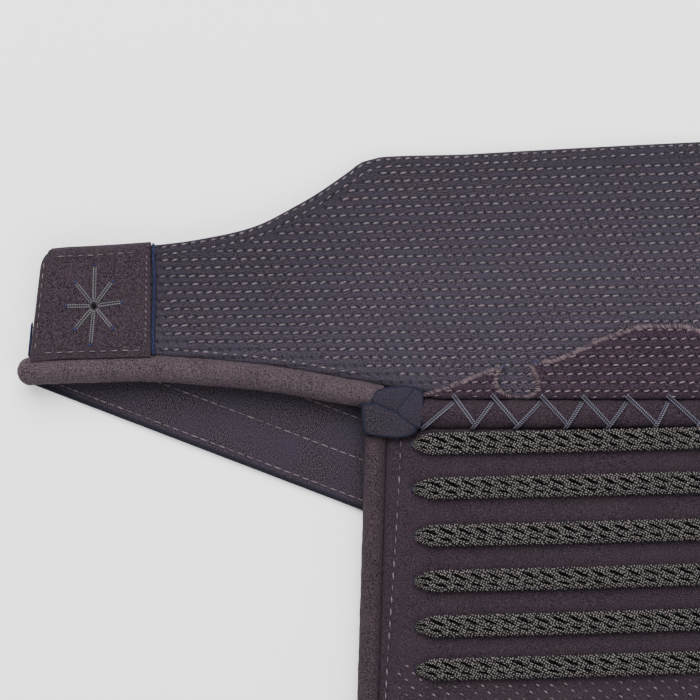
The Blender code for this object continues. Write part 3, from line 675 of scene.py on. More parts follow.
flap_leather = suede("smoked_leather_flap", "#140e13", "#372c35", "#33292d", 0.9)
flap_thread = thread("plum_thread_flap", "#6a5d63", "#41363d")
flap_across, flap_up = near_edges(1, 0.0125, 0.05), near_edges(1, 0.0105, 0.03)
line_run = np.arange(LINE_FIRST, LINE_LAST, LINE_PITCH)
low_rows = np.arange(LOW_FIRST, LOW_LAST, LOW_ROW)
low_columns = np.arange(LOW_SIDE, FLAP_WIDTH - LOW_SIDE, LOW_PITCH)
for index, name in FLAPS:
    edges = flap_edges(index)
    left, right, flare_left, flare_right = edges

    def large_bottom(x):
        outward = np.abs(x) - (CORNER_X - FLAP_WIDTH)
        return SEAM_Y - FLAP_DROP + (FLAP_WIDTH - outward) * math.tan(SIDE_TILT) * abs(index)

    x, y = flap_area(
        edges, large_bottom, panel_top, FLAP_TOP, FLAP_ROLL + GAP - FLAP_OVERLAP,
        flap_across, flap_up,
    )
    drop = FLAP_TOP - large_bottom(left)
    down = (FLAP_TOP - y) / drop
    line_left = left - flare_left * down + line_inset(down)
    line_right = right + flare_right * down - line_inset(down)
    pull = sum(np.exp(-(((x - line) / LINE_WIDE) ** 2)) for line in (line_left, line_right))
    half = FLAP_THICK / 2 * edge_round(to_edge(x, y), FLAP_THICK)
    puff = puffed(x, y, FLAP_PUFF, index) * (half > FLAP_FULL)
    middle = np.stack([x, y, flap_z(x, y)], axis=-1)
    made = wall(
        f"{name}_panel", middle, half - LINE_DEEP * pull + puff, half, flap_leather,
        {"UVMap": middle[..., :2]}, upright=True,
    )
    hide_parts(name)
    under_binding = SEAM_Y - BINDING_TALL / 2 + BINDING_EDGE
    tops = [under_binding if index == side else FLAP_TOP for side in (-1, 1)]
    line = roll_path(edges, large_bottom, tops, FLAP_ROLL / 2)
    edge_roll(name, line, flap_z(*line.T), FLAP_ROLL, FLAP_SIDES, FLAP_CREASE, 21 + index)

    share = line_run / drop
    line_left = left - flare_left * share + line_inset(share)
    line_right = right + flare_right * share - line_inset(share)
    start = np.column_stack(
        [np.concatenate([line_left, line_right]), np.tile(FLAP_TOP - line_run, 2)]
    )
    end = start + LINE_STITCH
    grid_x, grid_row = np.meshgrid(left + low_columns, low_rows, indexing="ij")
    grid_x = grid_x + LOW_PITCH / 2 * (np.round(grid_row / LOW_ROW) % 2)
    grid_y = cord_line(index, CORD_ROWS - 1, grid_x) - grid_row
    rng = np.random.default_rng(31 + index)
    field = np.stack([grid_x, grid_y], axis=-1).reshape(-1, 2)
    field += rng.normal(0, LOW_STRAY, field.shape)
    down = (FLAP_TOP - field[:, 1]) / drop
    keep = field[:, 0] > left - flare_left * down + LOW_LEFT
    keep &= field[:, 0] < right + flare_right * down - LOW_RIGHT
    keep &= field[:, 1] > large_bottom(field[:, 0]) + LOW_UP
    start = np.concatenate([start, field[keep]])
    end = np.concatenate([end, field[keep] + LOW_STITCH])
    sunk = LINE_SUNK * (np.arange(len(start)) < len(line_run) * 2)
    lift = FLAP_THICK / 2 + FLAP_THREAD_RISE - sunk
    start = np.column_stack([start, flap_z(start[:, 0], start[:, 1]) + lift])
    end = np.column_stack([end, flap_z(end[:, 0], end[:, 1]) + lift])
    stitches(
        f"{name}_thread", start, end, FLAP_THREAD, flap_thread, 41 + index,
        lift=FLAP_THREAD_LIFT, sides=3,
    )

# Braided cords
# Six flat oval cords on each large flap, braided from beaded two-ply cotton and couched down.
# The outer strands leave long slanted gaps above and short flat ones below.

BRAID_PITCH, BRAID_ROW_SHIFT, BRAID_FLAP_SHIFT = 6.9, 2.3, 1.1
BRAID_GAPS = ((0.0, 1.55, 25.0, 3.7, 0.52), (0.05, -1.7, 17.0, 2.4, 0.45))
CORD_TOP, CORD_UNDER, CORD_STEP, CORD_NARROW, CORD_SUNK = 17, 8, 0.66, 0.3, 0.15
TIP_SHARE, TIP_TAPER, TIP_ROUND = 0.46, 8.2, 1.9
GAP_DEEP, GAP_EASE, SCALLOP = 1.3, 6, 0.04
TIE_HALF, TIE_HIGH, TIE_RADIUS, TIE_LIFT = (0.1, 1.0, 0), 0.5, 0.42, 0.5


def gap_share(along, over):
    """How deep a place is in the braid's gaps, from 0 to 1.

    For each row of gaps, with its shift, middle, slope, length l and width w: the place is
    turned by the slope into (a, b), and the share is 1 - smooth(0.6 a^2/l^2 + b^2/(1.5 w)^2).
    """
    total = np.zeros(np.broadcast(along, over).shape)
    for shift, middle, slope, length, width in BRAID_GAPS:
        lean = math.radians(slope)
        cell = (np.mod(along / BRAID_PITCH + shift, 1) - 0.5) * BRAID_PITCH
        off = over - middle
        a = cell * math.cos(lean) - off * math.sin(lean)
        b = cell * math.sin(lean) + off * math.cos(lean)
        total = np.maximum(total, 1 - smooth(0.6 * (a / length) ** 2 + (b / width / 1.5) ** 2))
    return total


def braid(name):
    """Braided cotton: grey-olive beaded yarn, with gaps painted near black as shade, which read as a
    chain.

    The gaps use the same cells as gap_share, in millimetres along and over the cord. The
    yarn's beads are 1 mm apart on a slant, each with a painted highlight at its middle and
    painted shade between, and dust greys it over 2 mm.
    """
    finish, tree, shader = begin(name, 0.75, 0.05)
    place = add(tree, "UVMap", uv_map="UVMap").outputs["UV"]
    split = add(tree, "SeparateXYZ", {0: place}).outputs
    gaps = 0.0
    for shift, middle, slope, length, width in BRAID_GAPS:
        lean = math.radians(slope)
        cell = maths(tree, "MULTIPLY_ADD", split["X"], 1 / BRAID_PITCH, shift)
        cell = maths(tree, "FRACT", cell)
        cell = maths(tree, "MULTIPLY_ADD", cell, BRAID_PITCH, -BRAID_PITCH / 2)
        off = maths(tree, "SUBTRACT", split["Y"], middle)
        local = add(tree, "CombineXYZ", {0: cell, 1: off}).outputs[0]
        a = slanted(tree, local, math.cos(lean) / length, -math.sin(lean) / length)
        b = slanted(tree, local, math.sin(lean) / width, math.cos(lean) / width)
        far = add(tree, "CombineXYZ", {0: a, 1: b}).outputs[0]
        far = add(tree, "VectorMath", {0: far}, operation="LENGTH").outputs["Value"]
        gaps = maths(tree, "MAXIMUM", gaps, ranged(tree, far, 0.7, 1.1, 1.0, 0.0))
    strand = add(
        tree, "VectorRotate", {"Vector": place, "Angle": math.radians(27)}, rotation_type="Z_AXIS"
    ).outputs[0]
    beads = add(
        tree, "TexVoronoi", {"Vector": strand, "Scale": 1.0, "Randomness": 0.5},
        voronoi_dimensions="2D",
    ).outputs["Distance"]
    # Painted highlight at each bead's middle, falling to painted shade between the beads.
    bead = ranged(tree, beads, 0.1, 0.5, 1.0, 0.0)
    dust = ranged(tree, noise(tree, place, 0.5, 4.0), 0.35, 0.65, 0.72, 1.0)
    lit = ranged(tree, maths(tree, "MULTIPLY", bead, dust), 0.12, 0.85)
    # The gaps are painted near black: painted shade in the braid's hollows.
    yarn = mixed(tree, gaps, mixed(tree, lit, "#131212", "#827b79"), "#040404")
    dress(tree, shader, yarn, maths(tree, "MULTIPLY_ADD", gaps, -1.2, bead), 0.9, 1.0)
    return finish


def cord_ends(index, row):
    """Where a cord's two ends lie in x: the lower a cord, the shorter."""
    left, right = flap_edges(index)[:2]
    inset = CORD_INSET + CORD_NARROW * row
    return left + inset, right - inset


cord_cotton = braid("braided_cotton_cord")
cord_angle = np.concatenate(
    [np.linspace(0, math.pi, CORD_TOP), np.linspace(math.pi, 2 * math.pi, CORD_UNDER)[1:-1]]
)
over = -np.cos(cord_angle) * CORD_WIDE / 2
for index, flap in FLAPS:
    for row in range(CORD_ROWS):
        x = np.arange(*cord_ends(index, row), CORD_STEP)
        y = cord_line(index, row, x)
        z = flap_z(x, y) + FLAP_THICK / 2 + CORD_HIGH / 2 - CORD_SUNK
        path = np.stack([x, y, z], axis=-1)
        reach = np.minimum(x - x[0], x[-1] - x)[:, None]
        width = CORD_WIDE / 2 * (TIP_SHARE + (1 - TIP_SHARE) * smooth(reach / TIP_TAPER))
        width = width * round_end(reach / TIP_ROUND, 0.04)
        along = (x - x[0] + BRAID_ROW_SHIFT * row + BRAID_FLAP_SHIFT * index)[:, None]
        deep = gap_share(along, over) * np.clip(np.sin(cord_angle), 0, 1) ** 0.5
        deep = deep * smooth(reach / GAP_EASE)
        scallop = SCALLOP * np.sin(2 * math.pi * (along / BRAID_PITCH * 2 + 0.25))
        scallop = scallop * np.abs(np.cos(cord_angle)) ** 3
        ring_y = width * np.cos(cord_angle) * (1 + scallop)
        ring_z = width / CORD_WIDE * CORD_HIGH * np.sin(cord_angle) - GAP_DEEP * deep
        side_way = unit(np.cross(unit(np.gradient(path, axis=0)), UP))
        points = path[:, None] + ring_y[..., None] * side_way[:, None]
        points[..., 2] += ring_z
        uv = np.stack(np.broadcast_arrays(along, over), axis=-1)
        name = f"{flap}_cord_{row + 1}"
        made = piece(
            f"{name}_braid", points, tube_faces(len(x), len(cord_angle)), cord_cotton,
            {"UVMap": uv},
        )
        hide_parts(name)

tie_thread = thread("dark_blue_tie_thread", "#262d4e", "#171b30", 0.8)
for index, flap in FLAPS:
    for end, tip_x in zip(("left", "right"), cord_ends(index, np.arange(CORD_ROWS))):
        tip_y = np.array([float(cord_line(index, k, at)) for k, at in enumerate(tip_x)])
        tip_z = flap_z(tip_x, tip_y) + FLAP_THICK / 2 + TIE_HIGH
        knot = np.column_stack([tip_x, tip_y, tip_z])
        stitches(
            f"{flap}_cord_ties_{end}", knot - TIE_HALF, knot + TIE_HALF, TIE_RADIUS, tie_thread,
            seed=45, lift=TIE_LIFT, sides=6,
        )

# Waist band
# Layers of cotton felt between indigo-dyed twill, quilted by hand in rows 3.4 mm apart.
# Its ends narrow into ears; two or three rows follow the top edge, and the rest run level.

EAR_THICK, BAND_EDGE_THICK, TIP_REACH = 6.5, 5.5, 5.0
CORNER_RISE, PATCH_WIDE = 101.7, 48.7
FIRST_ROW, ROW_GAP, ROW_NARROWING = 9.2, 3.62, 0.00104
EDGE_ROWS, EDGE_GAP = (1.3, 4.3), 3.0
EDGE_REACH = EDGE_ROWS[-1] + EDGE_GAP / 2
STITCH, ROW_SHIFT, SEEN_PART, HOLE_AT = 3.92, 0.37, 0.64, 0.82
TUCK = 0.8
ARCH_POWER, SWELL_HIGH, SWELL_RISE, SWELL_FALL = 1.5, 1.1, 7, 38
EAR_ROUND, EAR_CUT, EAR_START, EDGE_THINS = 0.14, 3.4, 0.22, 0.28
BAND_PUFF, ROW_DIP, BAND_PULL = (0.12, 21, 16, 0.08, 7.3, 5.1), 0.15, 0.1
EAR_TABLE = (
    (-0.220, 1.070, 0.000),
    (-0.120, 1.050, 0.055),
    (0.000, 1.000, 0.120),
    (0.060, 0.845, 0.140),
    (0.135, 0.648, 0.168),
    (0.194, 0.513, 0.190),
    (0.328, 0.254, 0.228),
    (0.492, 0.107, 0.258),
    (0.640, 0.034, 0.278),
    (0.800, -0.015, 0.272),
    (0.930, -0.037, 0.264),
    (1.000, -0.080, 0.258),
)


def read(table, column, at):
    """A column of a table at values of its first column, by a cubic through the rows.

    Each row's slope is that of the line between its two neighbours.
    """
    rows = np.asarray(table, float)
    key, value = rows[:, 0], rows[:, column]
    near = np.arange(len(key))
    before, after = np.maximum(near - 1, 0), np.minimum(near + 1, len(key) - 1)
    slope = (value[after] - value[before]) / (key[after] - key[before])
    at = np.clip(at, key[0], key[-1])
    i = np.clip(np.searchsorted(key, at, side="right") - 1, 0, len(key) - 2)
    span = key[i + 1] - key[i]
    t = (at - key[i]) / span
    return (
        value[i] * (1 + 2 * t) * (1 - t) ** 2
        + value[i + 1] * t * t * (3 - 2 * t)
        + span * slope[i] * t * (1 - t) ** 2
        - span * slope[i + 1] * t * t * (1 - t)
    )


def roll_rise(x):
    """Height above the seam of the middle line of the roll under the band."""
    return EAR_RISE * read(EAR_TABLE, 2, (np.abs(x) - CORNER_X) / EAR_REACH)


def band_low(x):
    """Lower edge of the quilting above the seam: the roll's radius eases under the binding."""
    share = smooth((np.abs(x) - BINDING_INNER) / BINDING_LONG)
    return roll_rise(x) + (LACED_ROLL + (EAR_ROLL - LACED_ROLL) * share) / 2 + GAP


def band_top(x):
    """Top edge of the band above the seam: a low arch, then the ear's hollow curve.

    The arch has a small swell just inside the corner.
    """
    out = (np.abs(x) - CORNER_X) / EAR_REACH
    arch = 1 - np.minimum(np.abs(x) / CORNER_X, 1) ** ARCH_POWER
    arch = CORNER_RISE + (MIDDLE_RISE - CORNER_RISE) * arch
    inside = CORNER_X - np.abs(x)
    swell = smooth(inside / SWELL_RISE) * (1 - smooth((inside - SWELL_RISE) / SWELL_FALL))
    ear = EAR_RISE + (CORNER_RISE - EAR_RISE) * read(EAR_TABLE, 1, out)
    return np.where(out < 0, arch + SWELL_HIGH * swell, ear)


def ear_part(x):
    """0 along the middle of the band, 1 along the ear."""
    return smooth((np.abs(x) - CORNER_X + 0.1 * EAR_REACH) / (0.55 * EAR_REACH))


def ear_end(up):
    """How far out the ear ends: it leans in towards the top, where its corner is round."""
    corner = np.clip((up - 1) / EAR_ROUND + 1, 0, 1)
    return CORNER_X + EAR_REACH - TIP_REACH * up - EAR_CUT * (1 - np.sqrt(1 - corner**2))


def band_thick(x, up):
    """Padding thickness: thinner in the ears and towards the top edge."""
    body = BAND_THICK + (EAR_THICK - BAND_THICK) * ear_part(x)
    share = smooth((up - 1) / EDGE_THINS + 1)
    return body + (np.minimum(BAND_EDGE_THICK, body) - body) * share


def band_z(x, up):
    """Middle of the padding: from the seam it curls back until the top edge is down."""
    return seam_z(x) + (BAND_EDGE_THICK / 2 - seam_z(x)) * (1 - ear_part(x)) * up * up


def band_face(x, rise):
    """Height of the band's face at a place, before the stitches pull it in."""
    low, top = band_low(x) - TUCK, band_top(x)
    up = np.clip((rise - low) / (top - low), 0, 1)
    thick = band_thick(x, up)
    edge = np.minimum(rise - low, top - rise)
    return band_z(x, up) + thick / 2 * edge_round(np.maximum(edge, 0), thick)


def row_at(x, rise):
    """Which row of quilting a place is on, counted from the seam."""
    return (rise - FIRST_ROW) / (ROW_GAP - ROW_NARROWING * np.abs(x))


def top_margin(x, rise):
    """Distance of a place from the band's top edge, square to the edge."""
    slope = band_top(x + 0.5) - band_top(x - 0.5)
    return (band_top(x) - rise) / np.sqrt(1 + slope**2)


def band_maps(x, rise):
    """Maps of a piece on the band: in millimetres, and in stitches along and rows up."""
    rows = np.stack([x / STITCH, row_at(x, rise)], axis=-1)
    return {"UVMap": np.stack([x, rise], axis=-1), "Rows": rows}


def on_band(points, lift):
    """Places on the band's face, given along and above the seam, as points in space."""
    x, rise = points[:, 0], points[:, 1]
    return np.column_stack([x, SEAM_Y + rise, band_face(x, rise) + lift])


def quilting(tree, rows_map="Rows"):
    """Hollows of the quilting, from a map of stitches along and rows up: depth and painted shade.

    Row k is shifted along by the fraction of ROW_SHIFT times k. Each row is a groove. Where
    the thread goes in, after its seen part, there is a deep hollow that leans back. Grooves and
    hollows are darkened with painted shade, down to 0.38 of the colour.
    """
    place = add(tree, "UVMap", uv_map=rows_map).outputs["UV"]
    split = add(tree, "SeparateXYZ", {0: place}).outputs
    row = maths(tree, "ROUND", split["Y"])
    off = maths(tree, "SUBTRACT", split["Y"], row)
    side = maths(tree, "ABSOLUTE", off)
    along = maths(tree, "MULTIPLY_ADD", row, ROW_SHIFT, split["X"])
    cell = maths(tree, "FRACT", maths(tree, "MULTIPLY_ADD", off, 0.55, along))
    near = maths(tree, "ABSOLUTE", maths(tree, "SUBTRACT", cell, HOLE_AT))
    groove, hole, short = (
        ranged(tree, value, full, none, 1.0, 0.0, "SMOOTHSTEP")
        for value, full, none in ((side, 0.03, 0.30), (near, 0.02, 0.14), (side, 0.10, 0.30))
    )
    hole = maths(tree, "MULTIPLY", hole, short)
    depth = maths(tree, "MULTIPLY_ADD", groove, 0.3, hole)
    # The second value is painted shade: the colour falls to 0.38 in the deepest hollows.
    return maths(tree, "MULTIPLY", depth, -1.0), ranged(tree, depth, 0.1, 1.2, 1.0, 0.38)


def quilted_band(tree):
    """The level rows, or the rows along the top edge where the margin is small.

    Painted shade darkens the colour by a third at the top edge, easing off over 50 mm, where the
    band curls up towards the key lamp.
    """
    margin = add(tree, "Attribute", attribute_name="margin").outputs["Fac"]
    share = ranged(tree, margin, EDGE_REACH - 0.2, EDGE_REACH + 0.2)
    height, painted_shading = (
        add(tree, "Mix", {0: share, 2: edge, 3: level}).outputs[0]
        for edge, level in zip(quilting(tree, "Edge"), quilting(tree))
    )
    # Painted shade: darker towards the top edge.
    painted_top_shade = ranged(tree, margin, 0.0, 50.0, 0.68, 1.0)
    return height, maths(tree, "MULTIPLY", painted_shading, painted_top_shade)


band_cloth = twill("quilted_indigo_cotton", "#121014", "#463f49", "#302c36", rows=quilted_band)
inner_x = CORNER_X - EAR_START * EAR_REACH
ear = np.linspace(0, 1, 74)[1:] ** 0.92
side = np.concatenate([-1 - ear[::-1], np.linspace(-1, 1, 138), 1 + ear])
side, up = np.meshgrid(side, near_edges(1, 0.0084, 0.05), indexing="ij")
out = np.clip(np.abs(side) - 1, 0, 1)
end = CORNER_X + EAR_REACH + (ear_end(up) - CORNER_X - EAR_REACH) * out * out
x = np.where(np.abs(side) <= 1, inner_x * side, np.sign(side) * (inner_x + (end - inner_x) * out))
low, top = band_low(x) - TUCK, band_top(x)
rise = low + (top - low) * up
thick = band_thick(x, up)
edge = np.minimum(np.minimum(rise - low, top - rise), np.abs(np.abs(x) - end))
half = thick / 2 * edge_round(np.maximum(edge, 0), thick)
margin = top_margin(x, rise)
edge_row = (margin - EDGE_ROWS[0]) / EDGE_GAP
row = np.where(margin > EDGE_REACH, row_at(x, rise), edge_row)
dip = ROW_DIP * np.cos(2 * math.pi * row) * smooth(edge / 3)
puff = puffed(x, rise, BAND_PUFF) * smooth(edge / 5)
middle = np.stack([x, SEAM_Y + rise, band_z(x, up)], axis=-1)
edge_map = np.stack([x / STITCH, edge_row], axis=-1)
made = wall(
    "waist_band_quilting", middle, half - BAND_PULL - dip + puff, half, band_cloth,
    {**band_maps(x, rise), "Edge": edge_map}, upright=True,
    values={"margin": margin},
)
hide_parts("waist_band")

# Cloud leather
# Thin smoked leather cut in a cloud outline and laid on the lower middle of the band.
# Close satin stitches bind its upper edge, and the band's quilting runs through it.

CLOUD_THICK, CLOUD_LIFT, CLOUD_DIP, CLOUD_STEP = 0.9, 0.25, 0.12, 1.35
CLOUD_TUCK, CLOUD_CLEAR = 0.5, 3.2
OVER_CLOUD = CLOUD_LIFT + CLOUD_THICK
CLOUD_RUNS = (
    ((-236.5, 7.4), (-225.5, 11.2), (-213.6, 16.0), (-204.0, 19.4)),
    (
        (-204.0, 19.4), (-206.5, 16.6), (-207.4, 12.6), (-205.2, 8.9), (-200.8, 6.9),
        (-196.8, 6.7), (-192.2, 8.3), (-190.6, 11.6), (-191.7, 15.4), (-194.0, 18.6),
    ),
    (
        (-194.0, 18.6), (-191.2, 20.4), (-183.3, 21.7), (-174.4, 25.6), (-166.0, 29.6),
        (-157.6, 32.4), (-150.8, 34.8), (-140.8, 35.1), (-132.2, 35.0), (-126.0, 32.9),
        (-118.0, 28.8), (-111.2, 27.2), (-97.0, 29.5), (-86.0, 33.6), (-78.0, 35.2),
        (-61.5, 32.3), (-47.3, 27.2), (-33.1, 30.0), (-16.6, 35.8), (0.0, 37.5),
    ),
)
CLOUD_FEET = (-236.9, -217.0, -181.0, 0.0)
SATIN_PITCH, SATIN_RADIUS, SATIN_LIFT, SATIN_STRAY = 0.76, 0.33, 0.6, 0.16
SATIN_OUT, SATIN_IN, SATIN_LEAN, SATIN_LEAN_STRAY = 0.85, 1.2, 0.35, 0.12
SATIN_OUT_SUNK, SATIN_IN_SUNK = 0.55, 0.1
NECK_TIES = ((-204.9, 18.6), (-191.3, 20.6))
NECK_TIE_TURNS = ((-0.8, 0.1), (0.1, -0.1), (0.9, 0.2))
NECK_TIE_HALF, NECK_TIE_RADIUS, NECK_TIE_LIFT = (0.5, 0.8), 0.36, 0.7


def curve(points, step):
    """Points at even distances along a smooth line through the given ones."""
    run = run_along(points)
    table = np.column_stack([run, points])
    at = np.linspace(0, run[-1], max(3, round(run[-1] / step) + 1))
    return np.stack([read(table, k, at) for k in range(1, table.shape[1])], axis=-1)


def both_halves(parts, mirror):
    """Parts that share their ends joined to one line, and its mirror image back again."""
    line = np.concatenate([parts[0]] + [part[1:] for part in parts[1:]])
    return np.concatenate([line, (line * mirror)[-2::-1]])


cloud_parts = [curve(part, CLOUD_STEP) for part in CLOUD_RUNS]
feet = []
for part, first, last in zip(cloud_parts, CLOUD_FEET, CLOUD_FEET[1:]):
    run = run_along(part)
    feet.append(first + (last - first) * run / run[-1])
cloud_top, feet = both_halves(cloud_parts, (-1, 1)), both_halves(feet, -1)
share = near_edges(1, 0.034, 0.06)[None, :, None]
foot = np.stack([feet, band_low(feet) - CLOUD_TUCK], axis=-1)[:, None]
place = foot + (cloud_top[:, None] - foot) * share
x, rise = place[..., 0], place[..., 1]
z = band_face(x, rise) + CLOUD_LIFT + CLOUD_THICK / 2
z = np.maximum(z, seam_z(x) + CLOUD_CLEAR)
height = np.linalg.norm(cloud_top - foot[:, 0], axis=1)[:, None]
edge = np.minimum(share[..., 0], 1 - share[..., 0]) * height
half = CLOUD_THICK / 2 * edge_round(edge, CLOUD_THICK)
dip = CLOUD_DIP * np.cos(2 * math.pi * row_at(x, rise)) * smooth(edge / 3)
cloud_suede = suede(
    "smoked_leather_cloud", "#120b11", "#392d38", "#33292f", rough=0.9, rows=quilting
)
made = wall(
    "cloud_leather_hide", np.stack([x, SEAM_Y + rise, z], axis=-1), half - dip, half,
    cloud_suede, band_maps(x, rise), upright=True,
)
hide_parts("cloud_leather")

satin = thread("plum_pink_silk_edge", "#6a5a5e", "#342a30", 0.5)
line = resampled(cloud_top, SATIN_PITCH)
way = unit(np.gradient(line, axis=0))
outward = np.stack([-way[:, 1], way[:, 0]], axis=-1)
rng = np.random.default_rng(50)
reach = rng.normal(0, SATIN_STRAY, (2, len(line), 1))
lean = way * (SATIN_LEAN + rng.normal(0, SATIN_LEAN_STRAY, (len(line), 1)))
start = on_band(line + outward * (SATIN_OUT + reach[0]) - lean, OVER_CLOUD - SATIN_OUT_SUNK)
end = on_band(line - outward * (SATIN_IN + reach[1]) + lean, OVER_CLOUD - SATIN_IN_SUNK)
stitches(
    "cloud_leather_satin_edge", start, end, SATIN_RADIUS, satin, seed=51,
    lift=SATIN_LIFT,
)

ties = np.concatenate([NECK_TIES, np.multiply(NECK_TIES, (-1, 1))])
ties = (ties[:, None] + np.array(NECK_TIE_TURNS)).reshape(-1, 2)
start = on_band(ties - NECK_TIE_HALF, OVER_CLOUD - SATIN_IN_SUNK)
end = on_band(ties + NECK_TIE_HALF, OVER_CLOUD - SATIN_IN_SUNK)
stitches(
    "cloud_leather_ties", start, end, NECK_TIE_RADIUS, tie_thread, seed=52,
    lift=NECK_TIE_LIFT,
)

# Quilting thread
# Each seen stitch of the rows is a short dash of thread, laid a little slanted in its groove.
# The dashes are faded to a pinkish grey, and here and there to tan.

QUILT_RADIUS, QUILT_LIFT, QUILT_SUNK, DASH_RISE, DASH_STRAY = 0.39, 0.36, 0.24, 0.52, 0.12
QUILT_ROWS, QUILT_REACH, QUILT_OVER = 31, 90, 0.1
CLEAR_MIDDLE, CLEAR_EAR, CLEAR_BINDING, CLEAR_TOP, CLEAR_PATCH = 1.4, 3.4, 11, 6.0, 3
TOP_FIRST, TOP_LAST, TOP_PITCH, TOP_SEEN, TOP_DROP = 6, 20, 20, 11, (0, 0.15)
EAR_FOOT, EAR_DASH = 2.2, (2.1, 0.2)
SEAM_FOOT, SEAM_DASH, SEAM_SHARE = 0.45, (2.2, 0.2), 0.6
QUILT_END = CORNER_X + EAR_REACH - PATCH_WIDE - CLEAR_PATCH


def inside_outline(points):
    """Whether places lie under the cloud leather, from its top line read at their x."""
    order = np.argsort(cloud_top[:, 0])
    cover = np.interp(points[:, 0], cloud_top[order, 0], cloud_top[order, 1])
    return points[:, 1] < cover


def foot_dashes(x, foot, dash, curved):
    """Dashes close above the band's lower edge; curved ones follow it to their far ends."""
    far = x + dash[0]
    head = np.stack([x, band_low(x) + foot], axis=-1)
    return head, np.stack([far, band_low(far if curved else x) + foot + dash[1]], axis=-1)


rng = np.random.default_rng(61)
dashes = []
for k in range(QUILT_ROWS):
    place = np.arange(-QUILT_REACH, QUILT_REACH + 1) - (ROW_SHIFT * k) % 1
    head_x, tail_x = place * STITCH, (place + SEEN_PART) * STITCH
    far = np.abs(head_x)
    head = FIRST_ROW + k * (ROW_GAP - ROW_NARROWING * far) - DASH_RISE / 2
    clear = np.where(far > CORNER_X, CLEAR_EAR, CLEAR_MIDDLE)
    keep = (head > band_low(head_x) + clear) & (top_margin(head_x, head) > CLEAR_TOP)
    keep &= far < QUILT_END
    keep &= (far < BINDING_INNER - BINDING_EASE) | (head > roll_rise(head_x) + CLEAR_BINDING)
    head, tail = np.stack([head_x, head], axis=-1), np.stack([tail_x, head + DASH_RISE], axis=-1)
    dashes.append((head[keep], tail[keep]))
line_x = np.arange(-QUILT_END, 0.1, 0.5)
line_x = np.concatenate([line_x, -line_x[-2::-1]])
line = np.stack([line_x, band_top(line_x)], axis=-1)
way = unit(np.gradient(line, axis=0))
for distance in EDGE_ROWS:
    row_line = line + np.stack([way[:, 1], -way[:, 0]], axis=-1) * distance
    along = resampled(row_line, STITCH / TOP_PITCH)
    pick = np.arange(TOP_FIRST, len(along) - TOP_LAST, TOP_PITCH)
    dashes.append((along[pick], along[pick + TOP_SEEN] + TOP_DROP))
ear_x = np.arange(CORNER_X + 6, QUILT_END - 1, STITCH)
dashes += [foot_dashes(side * ear_x, EAR_FOOT, EAR_DASH, True) for side in (-1, 1)]
seam_x = np.arange(-BINDING_INNER + 4, BINDING_INNER - 6, STITCH)
seam_x = seam_x[rng.random(len(seam_x)) < SEAM_SHARE]
dashes.append(foot_dashes(seam_x, SEAM_FOOT, SEAM_DASH, False))
start, end = (np.concatenate(ends) for ends in zip(*dashes))
start = start + rng.normal(0, DASH_STRAY, start.shape)
end = end + rng.normal(0, DASH_STRAY, end.shape)
lift = np.where(inside_outline(start), OVER_CLOUD + QUILT_OVER, 0) - QUILT_SUNK
quilt_thread = thread("faded_quilting_thread", "#6c5f64", "#51454a", 1.1)
stitches(
    "quilting_thread", on_band(start, lift), on_band(end, lift), QUILT_RADIUS, quilt_thread,
    seed=62, lift=QUILT_LIFT, sides=3,
)

# Laced roll
# A thick leather roll joins the band to the flaps, sewn down by a doubled twisted cord.
# Each pass of the cord slants over the roll, crossing the next one at the top and bottom.

LACED_STATIONS, LACED_SIDES, LACED_CREASE = 460, 24, 0.025
LACED_PUFF, LACED_PINCH = 0.25, 0.2
LACED_HALF = BINDING_INNER + 3.0
LACING_PITCH, LACING_TURNS, LACING_STRAY = 17.9, 20, 0.5
LACING_LOW = (-237.4, -217.2, -200.2, -180.3, -163.6, -144.7, -127.6)
LACING_HIGH = (-224.2, -208.8, -189.6, -173.2, -155.6, -139.2)
RISING = ((0.0, -6.3), (0.2, 5.0))
FALLING = ((1.7, -4.6), (-0.5, 8.0))
STRAND, STRAND_APART, STRAND_TWIST = 0.4, 1.32, 1.5
CROSSING_Y, CROSSING_LIFT, CROSSING_HALF, CROSSING_EASE = -6.0, 0.55, 3.2, 1.6
QUILT_FROM, QUILT_EASE, QUILT_CLEAR, QUILT_REST = 3.8, 0.8, 3.7, 0.6
LACING_CLEAR, LACING_REST, LACING_LEAST, RISING_SIZE = 0.2, 0.7, 0.3, 0.85
LACING_DIVE, DIVE_SHARE, STEEPEST, UPRIGHT_FROM = 0.9, 0.125, 0.96, 5.5

x = np.linspace(-LACED_HALF, LACED_HALF, LACED_STATIONS)
pinch = np.cos(2 * math.pi * (x - LACING_LOW[-1]) / LACING_PITCH)
step = 2 * LACED_HALF / (LACED_STATIONS - 1)
creases = wrinkled(LACED_STATIONS, LACED_SIDES, step, LACED_CREASE, 71)
near_side = np.cos(2 * math.pi * np.arange(LACED_SIDES) / LACED_SIDES)
radius = (LACED_ROLL / 2 + LACED_PUFF) * creases - LACED_PINCH * (1 + pinch[:, None] * near_side)
laced_leather = suede("smoked_leather_laced_roll", "#120c11", "#352a32", "#32272b", 1.1)
path = np.column_stack([x, np.full_like(x, SEAM_Y), seam_z(x)])
made = sweep("laced_roll_leather", path, radius, laced_leather, LACED_SIDES)
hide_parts("laced_roll")

# Its plies carry strong painted highlight and shade, from 0.15 to 2.15 times the colour.
lacing_cord = thread("blue_grey_lacing_cord", "#413f47", "#33313a", 0.9, 0.15, 2.15)


